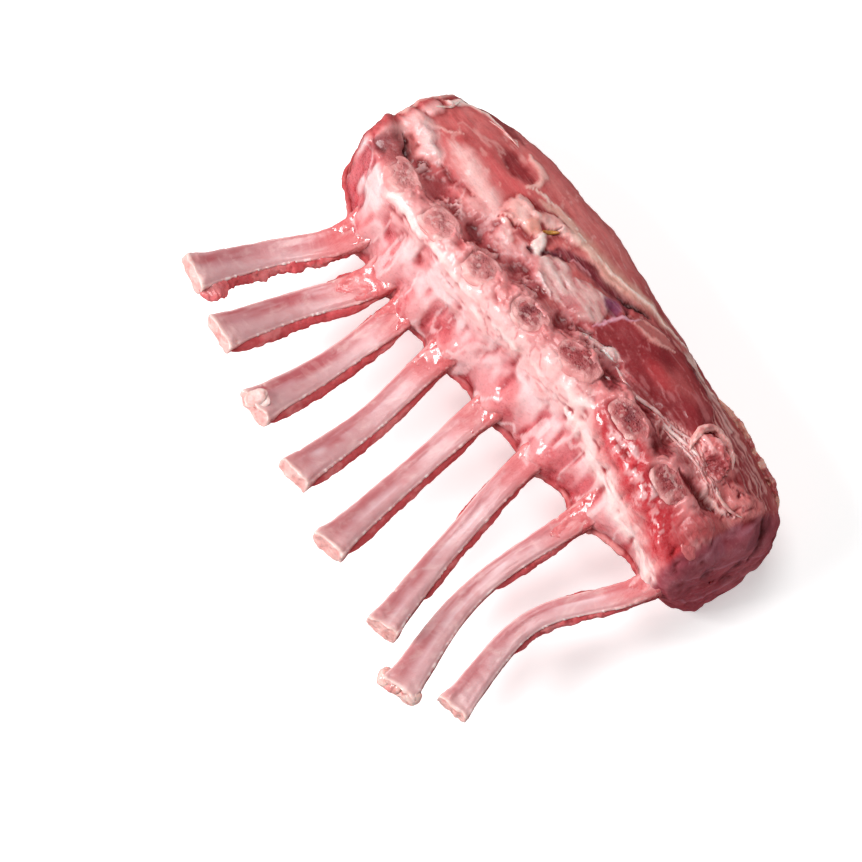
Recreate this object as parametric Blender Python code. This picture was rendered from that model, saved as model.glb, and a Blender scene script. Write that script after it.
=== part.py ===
"""Raw rack of lamb: a loin of meat lying on its fat side, eight trimmed ribs rooted in it, and the sawn chine bones
along its top. Blender 4.5, metres, +Z up. +X runs along the rack to its neck end, +Y from the chine to the rib tips,
and the origin is on the flat spot that the meat rests on."""

import math

import bmesh
import bpy
import numpy as np

MM = 0.001

# The loin is a loft along X. Each row is one cut through it, in millimetres: where the cut is, the middle of the
# sawn chine (y, z), the width of the ledge from there to the inner ridge, the back edge (y, z), and the trimmed
# edge that the ribs leave (y, z).
CUTS = (
    # x, chine_y, chine_z, ledge, back_y, back_z, trim_y, trim_z
    (-93.0, 1.0, 52.0, 11.0, -35.0, 25.0, 16.0, 36.0),
    (-77.0, -4.5, 57.0, 13.0, -41.0, 26.0, 18.5, 38.0),
    (-48.0, -7.5, 62.0, 12.0, -44.0, 27.0, 23.0, 31.0),
    (-14.0, -4.0, 63.0, 9.0, -45.0, 27.0, 28.0, 28.0),
    (20.0, 4.5, 64.0, 7.0, -46.5, 27.0, 32.5, 27.0),
    (56.0, 12.5, 64.0, 5.0, -43.5, 28.0, 37.0, 27.0),
    (88.0, 15.0, 61.0, 5.0, -38.0, 28.0, 36.0, 30.0),
    (116.0, 10.0, 58.0, 6.0, -24.0, 29.0, 27.0, 32.0),
)
HEEL_IN = 22.0  # from the back edge in to the flat underside
BELLY_IN = 18.0  # from the trimmed edge in to the flat underside
END_ROUND = 11.0  # how far the two end faces round over
END_POWER = 3.0  # 2 is a round end, more is a flatter one
TAIL_LEAN = 3.5  # how far the top of the tail end leans in, and its foot stands out
TAIL_LEAN_FROM = -55.0  # where along X that lean starts
END_MIDDLE = (-4.0, 27.0)  # what the end faces close towards, y and z
SCALLOP = 2.4  # how far the meat stands out along each rib at the trimmed edge
SCALLOP_REACH = 12.0  # how far along X from a rib that goes

LOIN_CUTS = 52
LOIN_SIDES = 40
FIRST_TURN = 0.06  # where the first cut is along the half turn that crowds the cuts, as a share of it
EVENNESS = 0.5  # 0 crowds the cuts towards the ends, 1 spaces them evenly

# Each rib in millimetres: where it leaves the meat along X, its tip (x, y, z), how far its middle bows towards +X,
# its width at the root, its width at the tip, and its thickness.
RIBS = (
    (88.0, (101.5, 95.0, 44.0), 3.0, 12.6, 13.8, 6.6),
    (69.0, (77.0, 98.5, 43.0), 3.0, 13.4, 14.0, 6.6),
    (53.5, (46.5, 102.0, 42.0), 0.5, 12.6, 13.4, 6.8),
    (32.0, (18.0, 103.0, 41.0), 0.0, 12.2, 12.6, 7.0),
    (6.0, (-11.0, 106.5, 41.0), 2.0, 11.6, 12.2, 7.2),
    (-19.0, (-46.5, 106.0, 41.0), 3.0, 10.6, 11.0, 7.4),
    (-47.0, (-67.5, 112.5, 38.0), 8.5, 10.0, 13.0, 7.4),
    (-82.0, (-82.5, 99.5, 34.0), 12.5, 9.6, 11.0, 7.0),
)
RIB_SEAT_IN = 13.0  # how far back from the trimmed edge a rib's seated end lies inside the meat
RIB_SEAT_RISE = 0.18  # how far up that end is, as a share of the way up to the chine
RIB_SAG = 8.5  # how far a rib's middle hangs below the line from its root to its tip
RIB_WAIST = 0.84  # a rib's width at its middle, as a share of its width at the root
RIB_SQUARENESS = 0.7  # 1 is an oval section, less is a squarer one
RIB_STATIONS = 15
RIB_SIDES = 12

# The sawn chine bones, one for each rib: where each is along X and how long it is, in millimetres.
CHINE = (
    (87.0, 17.0),
    (65.0, 18.0),
    (42.0, 18.0),
    (19.0, 19.0),
    (-5.0, 20.0),
    (-32.0, 21.0),
    (-59.0, 21.0),
    (-82.0, 16.0),
)
CHINE_WIDTH = 12.0
CHINE_DEPTH = 8.0
CHINE_PROUD = 0.8  # how far a sawn face stands above the meat round it
CHINE_SQUARENESS = 0.7
CHINE_TAPER = ((0.0, 1.0), (0.6, 0.96), (1.0, 0.6))  # shares of the depth, and of the sawn face's size left there
CHINE_SIDES = 16

CLEARANCE = 0.3  # between a bone and the meat round it

MEAT_COLOUR = (0.42, 0.10, 0.11, 1.0)
RIB_COLOUR = (0.76, 0.50, 0.48, 1.0)
CHINE_COLOUR = (0.55, 0.27, 0.25, 1.0)


def clear_scene():
    for existing in list(bpy.data.objects):
        bpy.data.objects.remove(existing, do_unlink=True)


def through(stations, values, at):
    """The smooth curve through the values at their stations, read at the places given."""
    stations = np.asarray(stations, float)
    values = np.asarray(values, float)
    at = np.clip(at, stations[0], stations[-1])
    slopes = np.gradient(values, stations, axis=0)
    span = np.clip(np.searchsorted(stations, at, side="right") - 1, 0, len(stations) - 2)
    width = stations[span + 1] - stations[span]
    t = (at - stations[span]) / width
    shape = (-1,) + (1,) * (values.ndim - 1)
    t = t.reshape(shape)
    width = width.reshape(shape)
    start = (1 + 2 * t) * (1 - t) ** 2 * values[span] + t * (1 - t) ** 2 * width * slopes[span]
    end = t * t * (3 - 2 * t) * values[span + 1] + t * t * (t - 1) * width * slopes[span + 1]
    return start + end


def cut_values(x):
    """Chine y and z, ledge, back y and z, and trimmed edge y and z at each x."""
    table = np.array(CUTS)
    return through(table[:, 0], table[:, 1:], np.atleast_1d(x)).T


def rib_closeness(x):
    """1 where a rib leaves the trimmed edge and 0 halfway to the next."""
    roots = np.array([rib[0] for rib in RIBS])
    away = np.abs(np.atleast_1d(x)[:, None] - roots).min(axis=1)
    return np.cos(np.clip(away / SCALLOP_REACH, 0, 1) * math.pi / 2) ** 2


def loin_corners(x):
    """The points that the outline of one cut passes through, in order round the cut, for each x."""
    chine_y, chine_z, ledge, back_y, back_z, trim_y, trim_z = cut_values(x)
    trim_y = trim_y + SCALLOP * (rib_closeness(x) - 0.5)
    zero = np.zeros_like(chine_y)
    arch_y, arch_z = chine_y - 9, chine_z - 6
    shoulder_y, shoulder_z = back_y + 5, back_z + 14
    ridge_y = chine_y + ledge
    run, drop = trim_y - ridge_y, chine_z - trim_z
    corners = (
        (trim_y - BELLY_IN, zero),
        ((trim_y - BELLY_IN + back_y + HEEL_IN) / 2, zero),
        (back_y + HEEL_IN, zero),
        (back_y + 7, zero + 9),
        (back_y, back_z),
        (shoulder_y, shoulder_z),
        (shoulder_y * 0.5 + arch_y * 0.5 - 1, shoulder_z * 0.5 + arch_z * 0.5 + 3),
        (arch_y, arch_z),
        (chine_y - 4, chine_z - 1),
        (ridge_y - 2, chine_z - 1),
        (ridge_y + run * 0.15, chine_z - drop * 0.3),
        (ridge_y + run * 0.42, chine_z - drop * 0.58),
        (ridge_y + run * 0.82, chine_z - drop * 0.85),
        (trim_y, trim_z - 3),
        (trim_y - 4, trim_z - 13),
        (trim_y - 10, zero + 5),
    )
    return np.stack([np.stack(corner, axis=-1) for corner in corners], axis=1)


def round_loop(corners, sides):
    """A closed smooth curve through the corners of each cut, with the given number of points."""
    count = corners.shape[1]
    place = np.arange(sides) * count / sides
    first = place.astype(int)
    t = (place - first)[None, :, None]
    before, start, end, after = (corners[:, (first + step) % count] for step in (-1, 0, 1, 2))
    slope_in = (end - before) / 2
    slope_out = (after - start) / 2
    return (
        (1 + 2 * t) * (1 - t) ** 2 * start
        + t * (1 - t) ** 2 * slope_in
        + t * t * (3 - 2 * t) * end
        + t * t * (t - 1) * slope_out
    )


def end_share(x):
    """How much of the full cut is left at each x: 1 along the loin, less where its ends round over."""
    low, high = CUTS[0][0], CUTS[-1][0]
    depth = np.clip((END_ROUND - np.minimum(x - low, high - x)) / END_ROUND, 0, 1)
    return (1 - depth**END_POWER) ** (1 / END_POWER)


def leaned(x, z):
    """The place along X of a point of the loin, once the tail end has leaned."""
    low = CUTS[0][0]
    share = np.clip((TAIL_LEAN_FROM - x) / (TAIL_LEAN_FROM - low), 0, 1)
    return x + TAIL_LEAN * share * share * (z - END_MIDDLE[1]) / END_MIDDLE[1]


def loft(name, rings):
    """A closed mesh object through rings of points in millimetres, which all hold the same number of points."""
    mesh = bpy.data.meshes.new(name)
    made = bmesh.new()
    rows = [[made.verts.new(np.array(point) * MM) for point in ring] for ring in rings]
    sides = len(rows[0])
    for row, following in zip(rows, rows[1:]):
        for i in range(sides):
            j = (i + 1) % sides
            made.faces.new((row[i], row[j], following[j], following[i]))
    made.faces.new(rows[0])
    made.faces.new(rows[-1])
    bmesh.ops.triangulate(made, faces=[face for face in made.faces if len(face.verts) > 4])
    bmesh.ops.recalc_face_normals(made, faces=made.faces)
    made.to_mesh(mesh)
    made.free()
    mesh.shade_smooth()
    mesh.set_sharp_from_angle(angle=math.radians(50))
    made_object = bpy.data.objects.new(name, mesh)
    bpy.context.scene.collection.objects.link(made_object)
    return made_object


def loin_rings():
    low, high = CUTS[0][0], CUTS[-1][0]
    # The cuts crowd towards the ends, where the faces round over.
    turn = np.linspace(FIRST_TURN, 1 - FIRST_TURN, LOIN_CUTS) * math.pi
    crowded = (low + high) / 2 - (high - low) / 2 * np.cos(turn)
    x = (1 - EVENNESS) * crowded + EVENNESS * np.linspace(crowded[0], crowded[-1], LOIN_CUTS)
    loops = round_loop(loin_corners(x), LOIN_SIDES)
    middle = np.array(END_MIDDLE)
    loops = middle + (loops - middle) * end_share(x)[:, None, None]
    loops[:, :, 1] = np.maximum(loops[:, :, 1], 0)
    return [np.column_stack([leaned(at, loop[:, 1]), loop]) for at, loop in zip(x, loops)]


def squared(wave, power):
    """A sine or cosine pushed outwards, so that the oval it draws turns squarer."""
    return np.sign(wave) * np.abs(wave) ** power


def rib_line(rib):
    """The middle of one rib, from its seat in the meat to its tip."""
    root_x, tip, bow = rib[:3]
    _, chine_z, _, _, _, trim_y, trim_z = cut_values(root_x)[:, 0]
    root = np.array((root_x, trim_y - 1, trim_z))
    tip = np.array(tip)
    seat = root + np.array((0, -RIB_SEAT_IN, (chine_z - trim_z) * RIB_SEAT_RISE))
    middle = (root + tip) / 2 + np.array((bow, 0, -RIB_SAG))
    lengths = np.cumsum([0] + [np.linalg.norm(b - a) for a, b in ((seat, root), (root, middle), (middle, tip))])
    return through(lengths, (seat, root, middle, tip), np.linspace(0, lengths[-1], RIB_STATIONS))


def rib_rings(rib, extra=0.0):
    """Flattened round sections along one rib, each grown by extra."""
    root_width, tip_width, thickness = rib[3:]
    line = rib_line(rib)
    along = np.gradient(line, axis=0)
    along /= np.linalg.norm(along, axis=1)[:, None]
    line = line + along * extra * np.linspace(-1, 1, RIB_STATIONS)[:, None]
    up = np.array((0.0, 0.0, 1.0))
    across = np.cross(up, along)
    across /= np.linalg.norm(across, axis=1)[:, None]
    over = np.cross(along, across)
    waist = root_width * RIB_WAIST
    widths = through((0, 0.5, 1), (root_width, waist, tip_width), np.linspace(0, 1, RIB_STATIONS))
    angle = (np.arange(RIB_SIDES) + 0.5) * 2 * math.pi / RIB_SIDES
    side, rise = squared(np.cos(angle), RIB_SQUARENESS), squared(np.sin(angle), RIB_SQUARENESS)
    rings = []
    for i in range(RIB_STATIONS):
        half_width = widths[i] / 2 + extra
        half_thick = thickness / 2 + extra
        rings.append(line[i] + np.outer(side * half_width, across[i]) + np.outer(rise * half_thick, over[i]))
    return rings


def chine_rings(bone, extra=0.0):
    """A sawn chine bone: a round-cornered block let down into the meat along the chine."""
    middle_x, length = bone
    angle = np.arange(CHINE_SIDES) * 2 * math.pi / CHINE_SIDES
    side, rise = squared(np.cos(angle), CHINE_SQUARENESS), squared(np.sin(angle), CHINE_SQUARENESS)
    rings = []
    for down, share in CHINE_TAPER:
        depth = down * CHINE_DEPTH - (1 - down) * CHINE_PROUD + (2 * down - 1) * extra
        x = middle_x + side * (length / 2 * share + extra)
        chine_y, chine_z, ledge = cut_values(x)[:3]
        y = chine_y + (ledge - 6) / 2 + rise * (CHINE_WIDTH / 2 * share + extra)
        z = chine_z - depth
        rings.append(np.column_stack([leaned(x, z), y, z]))
    return rings


def material(name, colour, roughness):
    made = bpy.data.materials.new(name)
    made.use_nodes = True
    shader = made.node_tree.nodes["Principled BSDF"]
    shader.inputs["Base Color"].default_value = colour
    shader.inputs["Roughness"].default_value = roughness
    shader.inputs["Metallic"].default_value = 0.0
    return made


def seat_in(body, cutter):
    """Cuts the bone's place out of the body. The cutter itself isn't a part."""
    cutter.hide_render = True
    cutter.display_type = "WIRE"
    cut = body.modifiers.new(cutter.name, "BOOLEAN")
    cut.operation = "DIFFERENCE"
    cut.solver = "EXACT"
    cut.object = cutter


def main():
    clear_scene()
    meat = loft("meat", loin_rings())
    meat.data.materials.append(material("meat", MEAT_COLOUR, 0.35))
    rib_material = material("rib bone", RIB_COLOUR, 0.4)
    chine_material = material("sawn chine bone", CHINE_COLOUR, 0.5)
    for number, rib in enumerate(RIBS, 1):
        bone = loft(f"rib_{number}", rib_rings(rib))
        bone.data.materials.append(rib_material)
        seat_in(meat, loft(f"rib_{number}_seat", rib_rings(rib, CLEARANCE)))
    for number, place in enumerate(CHINE, 1):
        bone = loft(f"chine_bone_{number}", chine_rings(place))
        bone.data.materials.append(chine_material)
        seat_in(meat, loft(f"chine_bone_{number}_seat", chine_rings(place, CLEARANCE)))


main()
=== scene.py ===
"""The looks of a raw rack of lamb: the wet meat with its fat, membranes and sawn spots, eight trimmed
rib bones, the sawn chine bones, the meat that climbs the ribs' roots, and loose tissue. Sizes are in
millimetres until a mesh is made. +X runs to the neck end, +Y from the chine to the rib tips, and +Z is
up."""

import itertools
import math

import bpy
import numpy as np
from bpy.props import FloatProperty, FloatVectorProperty, PointerProperty
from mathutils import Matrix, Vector
from mathutils.bvhtree import BVHTree


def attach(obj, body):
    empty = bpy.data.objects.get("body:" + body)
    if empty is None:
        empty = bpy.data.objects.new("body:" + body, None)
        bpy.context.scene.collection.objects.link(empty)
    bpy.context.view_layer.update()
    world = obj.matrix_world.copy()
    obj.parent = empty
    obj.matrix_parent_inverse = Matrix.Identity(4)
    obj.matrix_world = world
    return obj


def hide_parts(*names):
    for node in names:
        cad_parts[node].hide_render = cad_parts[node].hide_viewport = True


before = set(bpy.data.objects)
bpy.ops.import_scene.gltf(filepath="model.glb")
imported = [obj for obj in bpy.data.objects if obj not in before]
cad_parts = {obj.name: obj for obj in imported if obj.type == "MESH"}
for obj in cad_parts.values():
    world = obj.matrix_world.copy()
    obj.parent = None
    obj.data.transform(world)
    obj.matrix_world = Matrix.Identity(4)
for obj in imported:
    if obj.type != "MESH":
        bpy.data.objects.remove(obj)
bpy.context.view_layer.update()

bl_info = {
    "name": "Raw rack of lamb",
    "version": (1, 0, 0),
    "blender": (4, 5, 0),
    "location": "3D Viewport > Sidebar > Rack",
    "description": "Builds the visible pieces of a raw rack of lamb round its solids",
    "category": "Object",
}

MM = 0.001
BODY = "root"

# --------------------------------------------
# The form that the looks share with the solids
# --------------------------------------------

# Cuts across the loin: where each is, the top of the chine, how wide the flat ledge beside it is, the
# furthest point of the back, and the trimmed edge that the ribs leave
CUTS = (
    # x, chine_y, chine_z, ledge, back_y, back_z, trim_y, trim_z
    (-93.0, 1.0, 52.0, 11.0, -35.0, 25.0, 16.0, 36.0),
    (-77.0, -4.5, 57.0, 13.0, -41.0, 26.0, 18.5, 38.0),
    (-48.0, -7.5, 62.0, 12.0, -44.0, 27.0, 23.0, 31.0),
    (-14.0, -4.0, 63.0, 9.0, -45.0, 27.0, 28.0, 28.0),
    (20.0, 4.5, 64.0, 7.0, -46.5, 27.0, 32.5, 27.0),
    (56.0, 12.5, 64.0, 5.0, -43.5, 28.0, 37.0, 27.0),
    (88.0, 15.0, 61.0, 5.0, -38.0, 28.0, 36.0, 30.0),
    (116.0, 10.0, 58.0, 6.0, -24.0, 29.0, 27.0, 32.0),
)
TAIL, NECK = CUTS[0][0], CUTS[-1][0]
HEEL_IN = 22.0  # from the back to where the loin meets the floor
BELLY_IN = 18.0  # from the trimmed edge to where it meets the floor
END_ROUND = 11.0  # how long the rounding of the loin's two ends is
END_POWER = 3.0  # how square that rounding is
END_INSET = 1.85  # how far inside the loin's two ends its flat end faces lie
END_MIDDLE = (-4.0, 27.0)  # y and z that both ends round towards
TAIL_LEAN = 3.5  # how far the tail end leans: its top towards the neck, and its foot away from it
TAIL_LEAN_FROM = -55.0  # where along X that lean begins
SCALLOP = 2.4  # how much further out the trimmed edge stands at a rib than between two
SCALLOP_REACH = 12.0  # how far from a rib that ends

# From the neck end. A rib leaves the trimmed edge at its root, and its bow is how far its middle stands
# aside along X.
RIBS = (
    # root_x, tip, bow, root width, tip width, thickness
    (88.0, (101.5, 95.0, 44.0), 3.0, 12.6, 13.8, 6.6),
    (69.0, (77.0, 98.5, 43.0), 3.0, 13.4, 14.0, 6.6),
    (53.5, (46.5, 102.0, 42.0), 0.5, 12.6, 13.4, 6.8),
    (32.0, (18.0, 103.0, 41.0), 0.0, 12.2, 12.6, 7.0),
    (6.0, (-11.0, 106.5, 41.0), 2.0, 11.6, 12.2, 7.2),
    (-19.0, (-46.5, 106.0, 41.0), 3.0, 10.6, 11.0, 7.4),
    (-47.0, (-67.5, 112.5, 38.0), 8.5, 10.0, 13.0, 7.4),
    (-82.0, (-82.5, 99.5, 34.0), 12.5, 9.6, 11.0, 7.0),
)
RIB_SEAT_IN = 13.0  # how deep a rib's root sits in the meat
RIB_SEAT_RISE = 0.18  # how far the seat rises, as a share of the drop from the chine to the edge
RIB_SAG = 8.5  # how far a rib's middle sags
RIB_WAIST = 0.84  # a rib's width halfway along, as a share of its width at the root

# The sawn chine bones: the middle of each along X, and its length
CHINE = (
    (87.0, 17.0), (65.0, 18.0), (42.0, 18.0), (19.0, 19.0), (-5.0, 20.0), (-32.0, 21.0), (-59.0, 21.0),
    (-82.0, 16.0),
)
CHINE_WIDTH = 12.0
CHINE_COVERED = 8  # the sawn bone that the tail end's tissue laps over
CHINE_COVERED_SIZE = 0.64  # how large the bump that shows of it is, as a share of the bone


def through(stations, values, at):
    """The smooth curve through the values at their stations, read at the places given."""
    stations = np.asarray(stations, float)
    values = np.asarray(values, float)
    at = np.clip(at, stations[0], stations[-1])
    slopes = np.gradient(values, stations, axis=0)
    span = np.clip(np.searchsorted(stations, at, side="right") - 1, 0, len(stations) - 2)
    width = stations[span + 1] - stations[span]
    t = (at - stations[span]) / width
    shape = (-1,) + (1,) * (values.ndim - 1)
    t = t.reshape(shape)
    width = width.reshape(shape)
    start = (1 + 2 * t) * (1 - t) ** 2 * values[span] + t * (1 - t) ** 2 * width * slopes[span]
    end = t * t * (3 - 2 * t) * values[span + 1] + t * t * (t - 1) * width * slopes[span + 1]
    return start + end


def cut_values(x):
    """Chine y and z, ledge, back y and z, and trimmed edge y and z at each x."""
    table = np.array(CUTS)
    return through(table[:, 0], table[:, 1:], np.atleast_1d(x)).T


def rib_closeness(x):
    """1 where a rib leaves the trimmed edge and 0 halfway to the next."""
    roots = np.array([rib[0] for rib in RIBS])
    away = np.abs(np.atleast_1d(x)[:, None] - roots).min(axis=1)
    return np.cos(np.clip(away / SCALLOP_REACH, 0, 1) * math.pi / 2) ** 2


def loin_corners(x):
    """The points that the outline of one cut passes through, in order round the cut, for each x."""
    chine_y, chine_z, ledge, back_y, back_z, trim_y, trim_z = cut_values(x)
    trim_y = trim_y + SCALLOP * (rib_closeness(x) - 0.5)
    zero = np.zeros_like(chine_y)
    arch_y, arch_z = chine_y - 9, chine_z - 6
    shoulder_y, shoulder_z = back_y + 5, back_z + 14
    ridge_y = chine_y + ledge
    run, drop = trim_y - ridge_y, chine_z - trim_z
    corners = (
        (trim_y - BELLY_IN, zero),
        ((trim_y - BELLY_IN + back_y + HEEL_IN) / 2, zero),
        (back_y + HEEL_IN, zero),
        (back_y + 7, zero + 9),
        (back_y, back_z),
        (shoulder_y, shoulder_z),
        (shoulder_y * 0.5 + arch_y * 0.5 - 1, shoulder_z * 0.5 + arch_z * 0.5 + 3),
        (arch_y, arch_z),
        (chine_y - 4, chine_z - 1),
        (ridge_y - 2, chine_z - 1),
        (ridge_y + run * 0.15, chine_z - drop * 0.3),
        (ridge_y + run * 0.42, chine_z - drop * 0.58),
        (ridge_y + run * 0.82, chine_z - drop * 0.85),
        (trim_y, trim_z - 3),
        (trim_y - 4, trim_z - 13),
        (trim_y - 10, zero + 5),
    )
    return np.stack([np.stack(corner, axis=-1) for corner in corners], axis=1)


def end_share(x):
    """How much of the full cut is left at each x: 1 along the loin, less where its ends round over."""
    depth = np.clip((END_ROUND - np.minimum(x - TAIL, NECK - x)) / END_ROUND, 0, 1)
    return (1 - depth**END_POWER) ** (1 / END_POWER)


def leaned(x, z):
    """The place along X of a point of the loin, once the tail end has leaned."""
    share = np.clip((TAIL_LEAN_FROM - x) / (TAIL_LEAN_FROM - TAIL), 0, 1)
    return x + TAIL_LEAN * share * share * (z - END_MIDDLE[1]) / END_MIDDLE[1]


def rib_line(rib, shares):
    """The middle of one rib at these shares of its length, from its seat in the meat to its tip."""
    root_x, tip, bow = rib[:3]
    _, chine_z, _, _, _, trim_y, trim_z = cut_values(root_x)[:, 0]
    root = np.array((root_x, trim_y - 1, trim_z))
    tip = np.array(tip)
    seat = root + np.array((0, -RIB_SEAT_IN, (chine_z - trim_z) * RIB_SEAT_RISE))
    middle = (root + tip) / 2 + np.array((bow, 0, -RIB_SAG))
    spans = ((seat, root), (root, middle), (middle, tip))
    lengths = np.cumsum([0] + [np.linalg.norm(end - start) for start, end in spans])
    return through(lengths, (seat, root, middle, tip), np.asarray(shares) * lengths[-1]), lengths[-1]


# --------------------------------------------
# Uneven stuff: repeatable noise, and soft shapes to paint with
# --------------------------------------------


def cell_value(cells, seed):
    """A repeatable number from -1 to 1 for each whole-number cell."""
    mixed = cells[..., 0] * 73856093 + cells[..., 1] * 19349663 + cells[..., 2] * 83492791 + seed * 40503
    mixed = (mixed ^ (mixed >> 13)) * 1274126177
    mixed = (mixed ^ (mixed >> 16)) & 0xFFFFFF
    return mixed / 0x7FFFFF - 1.0


def smooth_noise(points, seed):
    """Unevenness of one size: a repeatable value at each whole-number place, and smooth between."""
    low = np.floor(points).astype(np.int64)
    part = points - low
    part = part**3 * (part * (part * 6 - 15) + 10)
    total = np.zeros(len(points))
    for corner in itertools.product((0, 1), repeat=3):
        weight = np.prod(np.where(np.array(corner), part, 1 - part), axis=1)
        total += weight * cell_value(low + np.array(corner), seed)
    return total


def noise(points, size, seed, octaves=3):
    """Soft unevenness of about -1 to 1. Size is in millimetres, one number or one for each axis."""
    scaled = points / np.asarray(size, float)
    total, amount = np.zeros(len(points)), 1.0
    for octave in range(octaves):
        total += amount * smooth_noise(scaled * 2.03**octave + 17.3 * octave, seed * 31 + octave)
        amount *= 0.5
    return total / (2 - 2 * amount) * 1.5


def creases(points, size, seed):
    """0 along winding creases, rising to about 1 between them."""
    return np.clip(np.abs(noise(points, size, seed, 2)) * 2.2, 0, 1)


def thread(points, size, seed, width=0.07):
    """Thin winding lines, drawn out along the axis with the largest size."""
    return 1 - ease(np.abs(noise(points, size, seed, 2)), width * 0.4, width)


def ease(value, start, end):
    """0 before start, 1 after end, and smooth between."""
    t = np.clip((value - start) / (end - start), 0, 1)
    return t * t * (3 - 2 * t)


def patches(points, size, seed, start, end):
    """Soft uneven patches: 0 where the noise is below start, and 1 where it is above end."""
    return ease(noise(points, size, seed), start, end)


def wander(points, size, seed):
    """How far a mark strays from its place at each point, in two directions."""
    return np.column_stack([noise(points, size, seed), noise(points, size, seed + 1)])


def between(value, start, rise, fall, end):
    """0 before start, 1 from rise to fall, 0 after end, and smooth between."""
    return ease(value, start, rise) * (1 - ease(value, fall, end))


def oval(plan, centre, radii, turn, soft=0.5):
    """A soft oval: 1 inside, 0 outside. Turn is in degrees."""
    angle = math.radians(turn)
    away = plan - np.array(centre, float)
    along = away[:, 0] * math.cos(angle) + away[:, 1] * math.sin(angle)
    across = away[:, 1] * math.cos(angle) - away[:, 0] * math.sin(angle)
    reach = np.hypot(along / radii[0], across / radii[1])
    return 1 - ease(reach, 1 - soft / 2, 1 + soft / 2)


def distance_to(plan, path):
    """How far each point is from a bent line, and how far along the line the nearest place is, as a share."""
    path = np.array(path, float)
    best = np.full(len(plan), 1e9)
    share = np.zeros(len(plan))
    lengths = np.linalg.norm(np.diff(path, axis=0), axis=1)
    passed = 0.0
    for start, end, length in zip(path, path[1:], lengths):
        way = (end - start) / length
        along = np.clip((plan - start) @ way, 0, length)
        away = np.linalg.norm(plan - start - along[:, None] * way, axis=1)
        nearer = away < best
        best[nearer] = away[nearer]
        share[nearer] = (passed + along[nearer]) / lengths.sum()
        passed += length
    return best, share


def stroke(plan, path, width, soft=0.6, taper=True):
    """A soft line of that width, which thins out at both ends if it tapers."""
    away, share = distance_to(plan, path)
    half = width / 2 * (np.sqrt(np.clip(4 * share * (1 - share), 0.04, 1)) if taper else 1)
    return 1 - ease(away / half, 1 - soft, 1 + soft)


def field(plan, outline, soft=2.0):
    """A soft-edged area with that outline."""
    outline = np.array(outline, float)
    inside = np.zeros(len(plan), bool)
    x, y = plan[:, 0], plan[:, 1]
    for a, b in zip(outline, np.roll(outline, -1, axis=0)):
        crosses = (a[1] > y) != (b[1] > y)
        rise = b[1] - a[1] if b[1] != a[1] else 1e-9
        inside ^= crosses & (x < (b[0] - a[0]) * (y - a[1]) / rise + a[0])
    away, _ = distance_to(plan, np.vstack([outline, outline[:1]]))
    return ease(np.where(inside, away, -away), -soft / 2, soft / 2)


def srgb(red, green, blue):
    """A colour as light, from its usual 0 to 255 values."""
    part = np.array((red, green, blue)) / 255
    return tuple(np.where(part <= 0.04045, part / 12.92, ((part + 0.055) / 1.055) ** 2.4))


def smoothed(values, reach):
    """The values of a grid, each averaged over the points within reach of it."""
    for axis in (0, 1):
        values = sum(np.roll(values, step, axis) for step in range(-reach, reach + 1)) / (2 * reach + 1)
    return values


class Canvas:
    """The colour, the relief and the finish of one mesh's points, built up in soft shapes."""

    FINISHES = ("wet", "grain", "sponge", "film")

    def __init__(self, points, colour, **finish):
        self.points = points
        self.colour = np.tile(np.array(colour, float), (len(points), 1))
        self.relief = np.zeros(len(points))
        self.finish = {name: np.full(len(points), finish.get(name, 0.0)) for name in self.FINISHES}

    def paint(self, mask, colour, relief=None, **finish):
        """Covers what lies below by the mask: 0 leaves it, and 1 hides it. Relief adds up.

        A colour or a relief of None changes neither."""
        mask = np.clip(mask, 0, 1)
        if colour is not None:
            self.colour += (np.array(colour) - self.colour) * mask[:, None]
        if relief is not None:
            self.relief += relief * mask
        for name, value in finish.items():
            self.finish[name] += (value - self.finish[name]) * mask

    def lift(self, relief):
        """Adds relief all over."""
        self.relief += relief

    def shade(self, mask, tint):
        """Darkens by the mask, down to that tint of the colour below."""
        self.colour *= 1 - np.clip(mask, 0, 1)[:, None] * (1 - np.array(tint))

    def layers(self):
        """What the materials read: the colour, and each finish."""
        return {"tint": self.colour, **self.finish}


# --------------------------------------------
# Meshes
# --------------------------------------------


def grid_normals(points):
    """Outward normals of a tube of points, in rows that close on themselves."""
    along = np.gradient(points, axis=0)
    wrapped = np.concatenate([points[:, -1:], points, points[:, :1]], axis=1)
    around = (wrapped[:, 2:] - wrapped[:, :-2]) / 2
    normals = np.cross(around, along)
    normals /= np.maximum(np.linalg.norm(normals, axis=2), 1e-9)[:, :, None]
    middle = points.mean(axis=1, keepdims=True)
    if (normals * (points - middle)).sum() < 0:
        normals = -normals
    return normals


def raised(grid, relief):
    """The grid's points, each moved outwards by its relief."""
    return grid + grid_normals(grid) * relief.reshape(grid.shape[:2])[:, :, None]


def looks_inward(grid):
    """Whether the faces that tube_faces gives a tube look into it."""
    facing = np.cross(np.roll(grid, -1, axis=1) - grid, np.gradient(grid, axis=0))
    return (grid_normals(grid) * facing).sum() < 0


def tube_faces(rows, columns, first):
    """The faces of a tube of points: its sides as quads, and a fan to a middle point at each end."""
    index = first + np.arange(rows * columns).reshape(rows, columns)
    nexts = np.roll(index, -1, axis=1)
    quads = np.stack([index[:-1], nexts[:-1], nexts[1:], index[1:]], axis=-1).reshape(-1, 4)
    start, end = first + rows * columns, first + rows * columns + 1
    low = np.stack([nexts[0], index[0], np.full(columns, start)], axis=-1)
    high = np.stack([index[-1], nexts[-1], np.full(columns, end)], axis=-1)
    return quads, np.concatenate([low, high])


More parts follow.
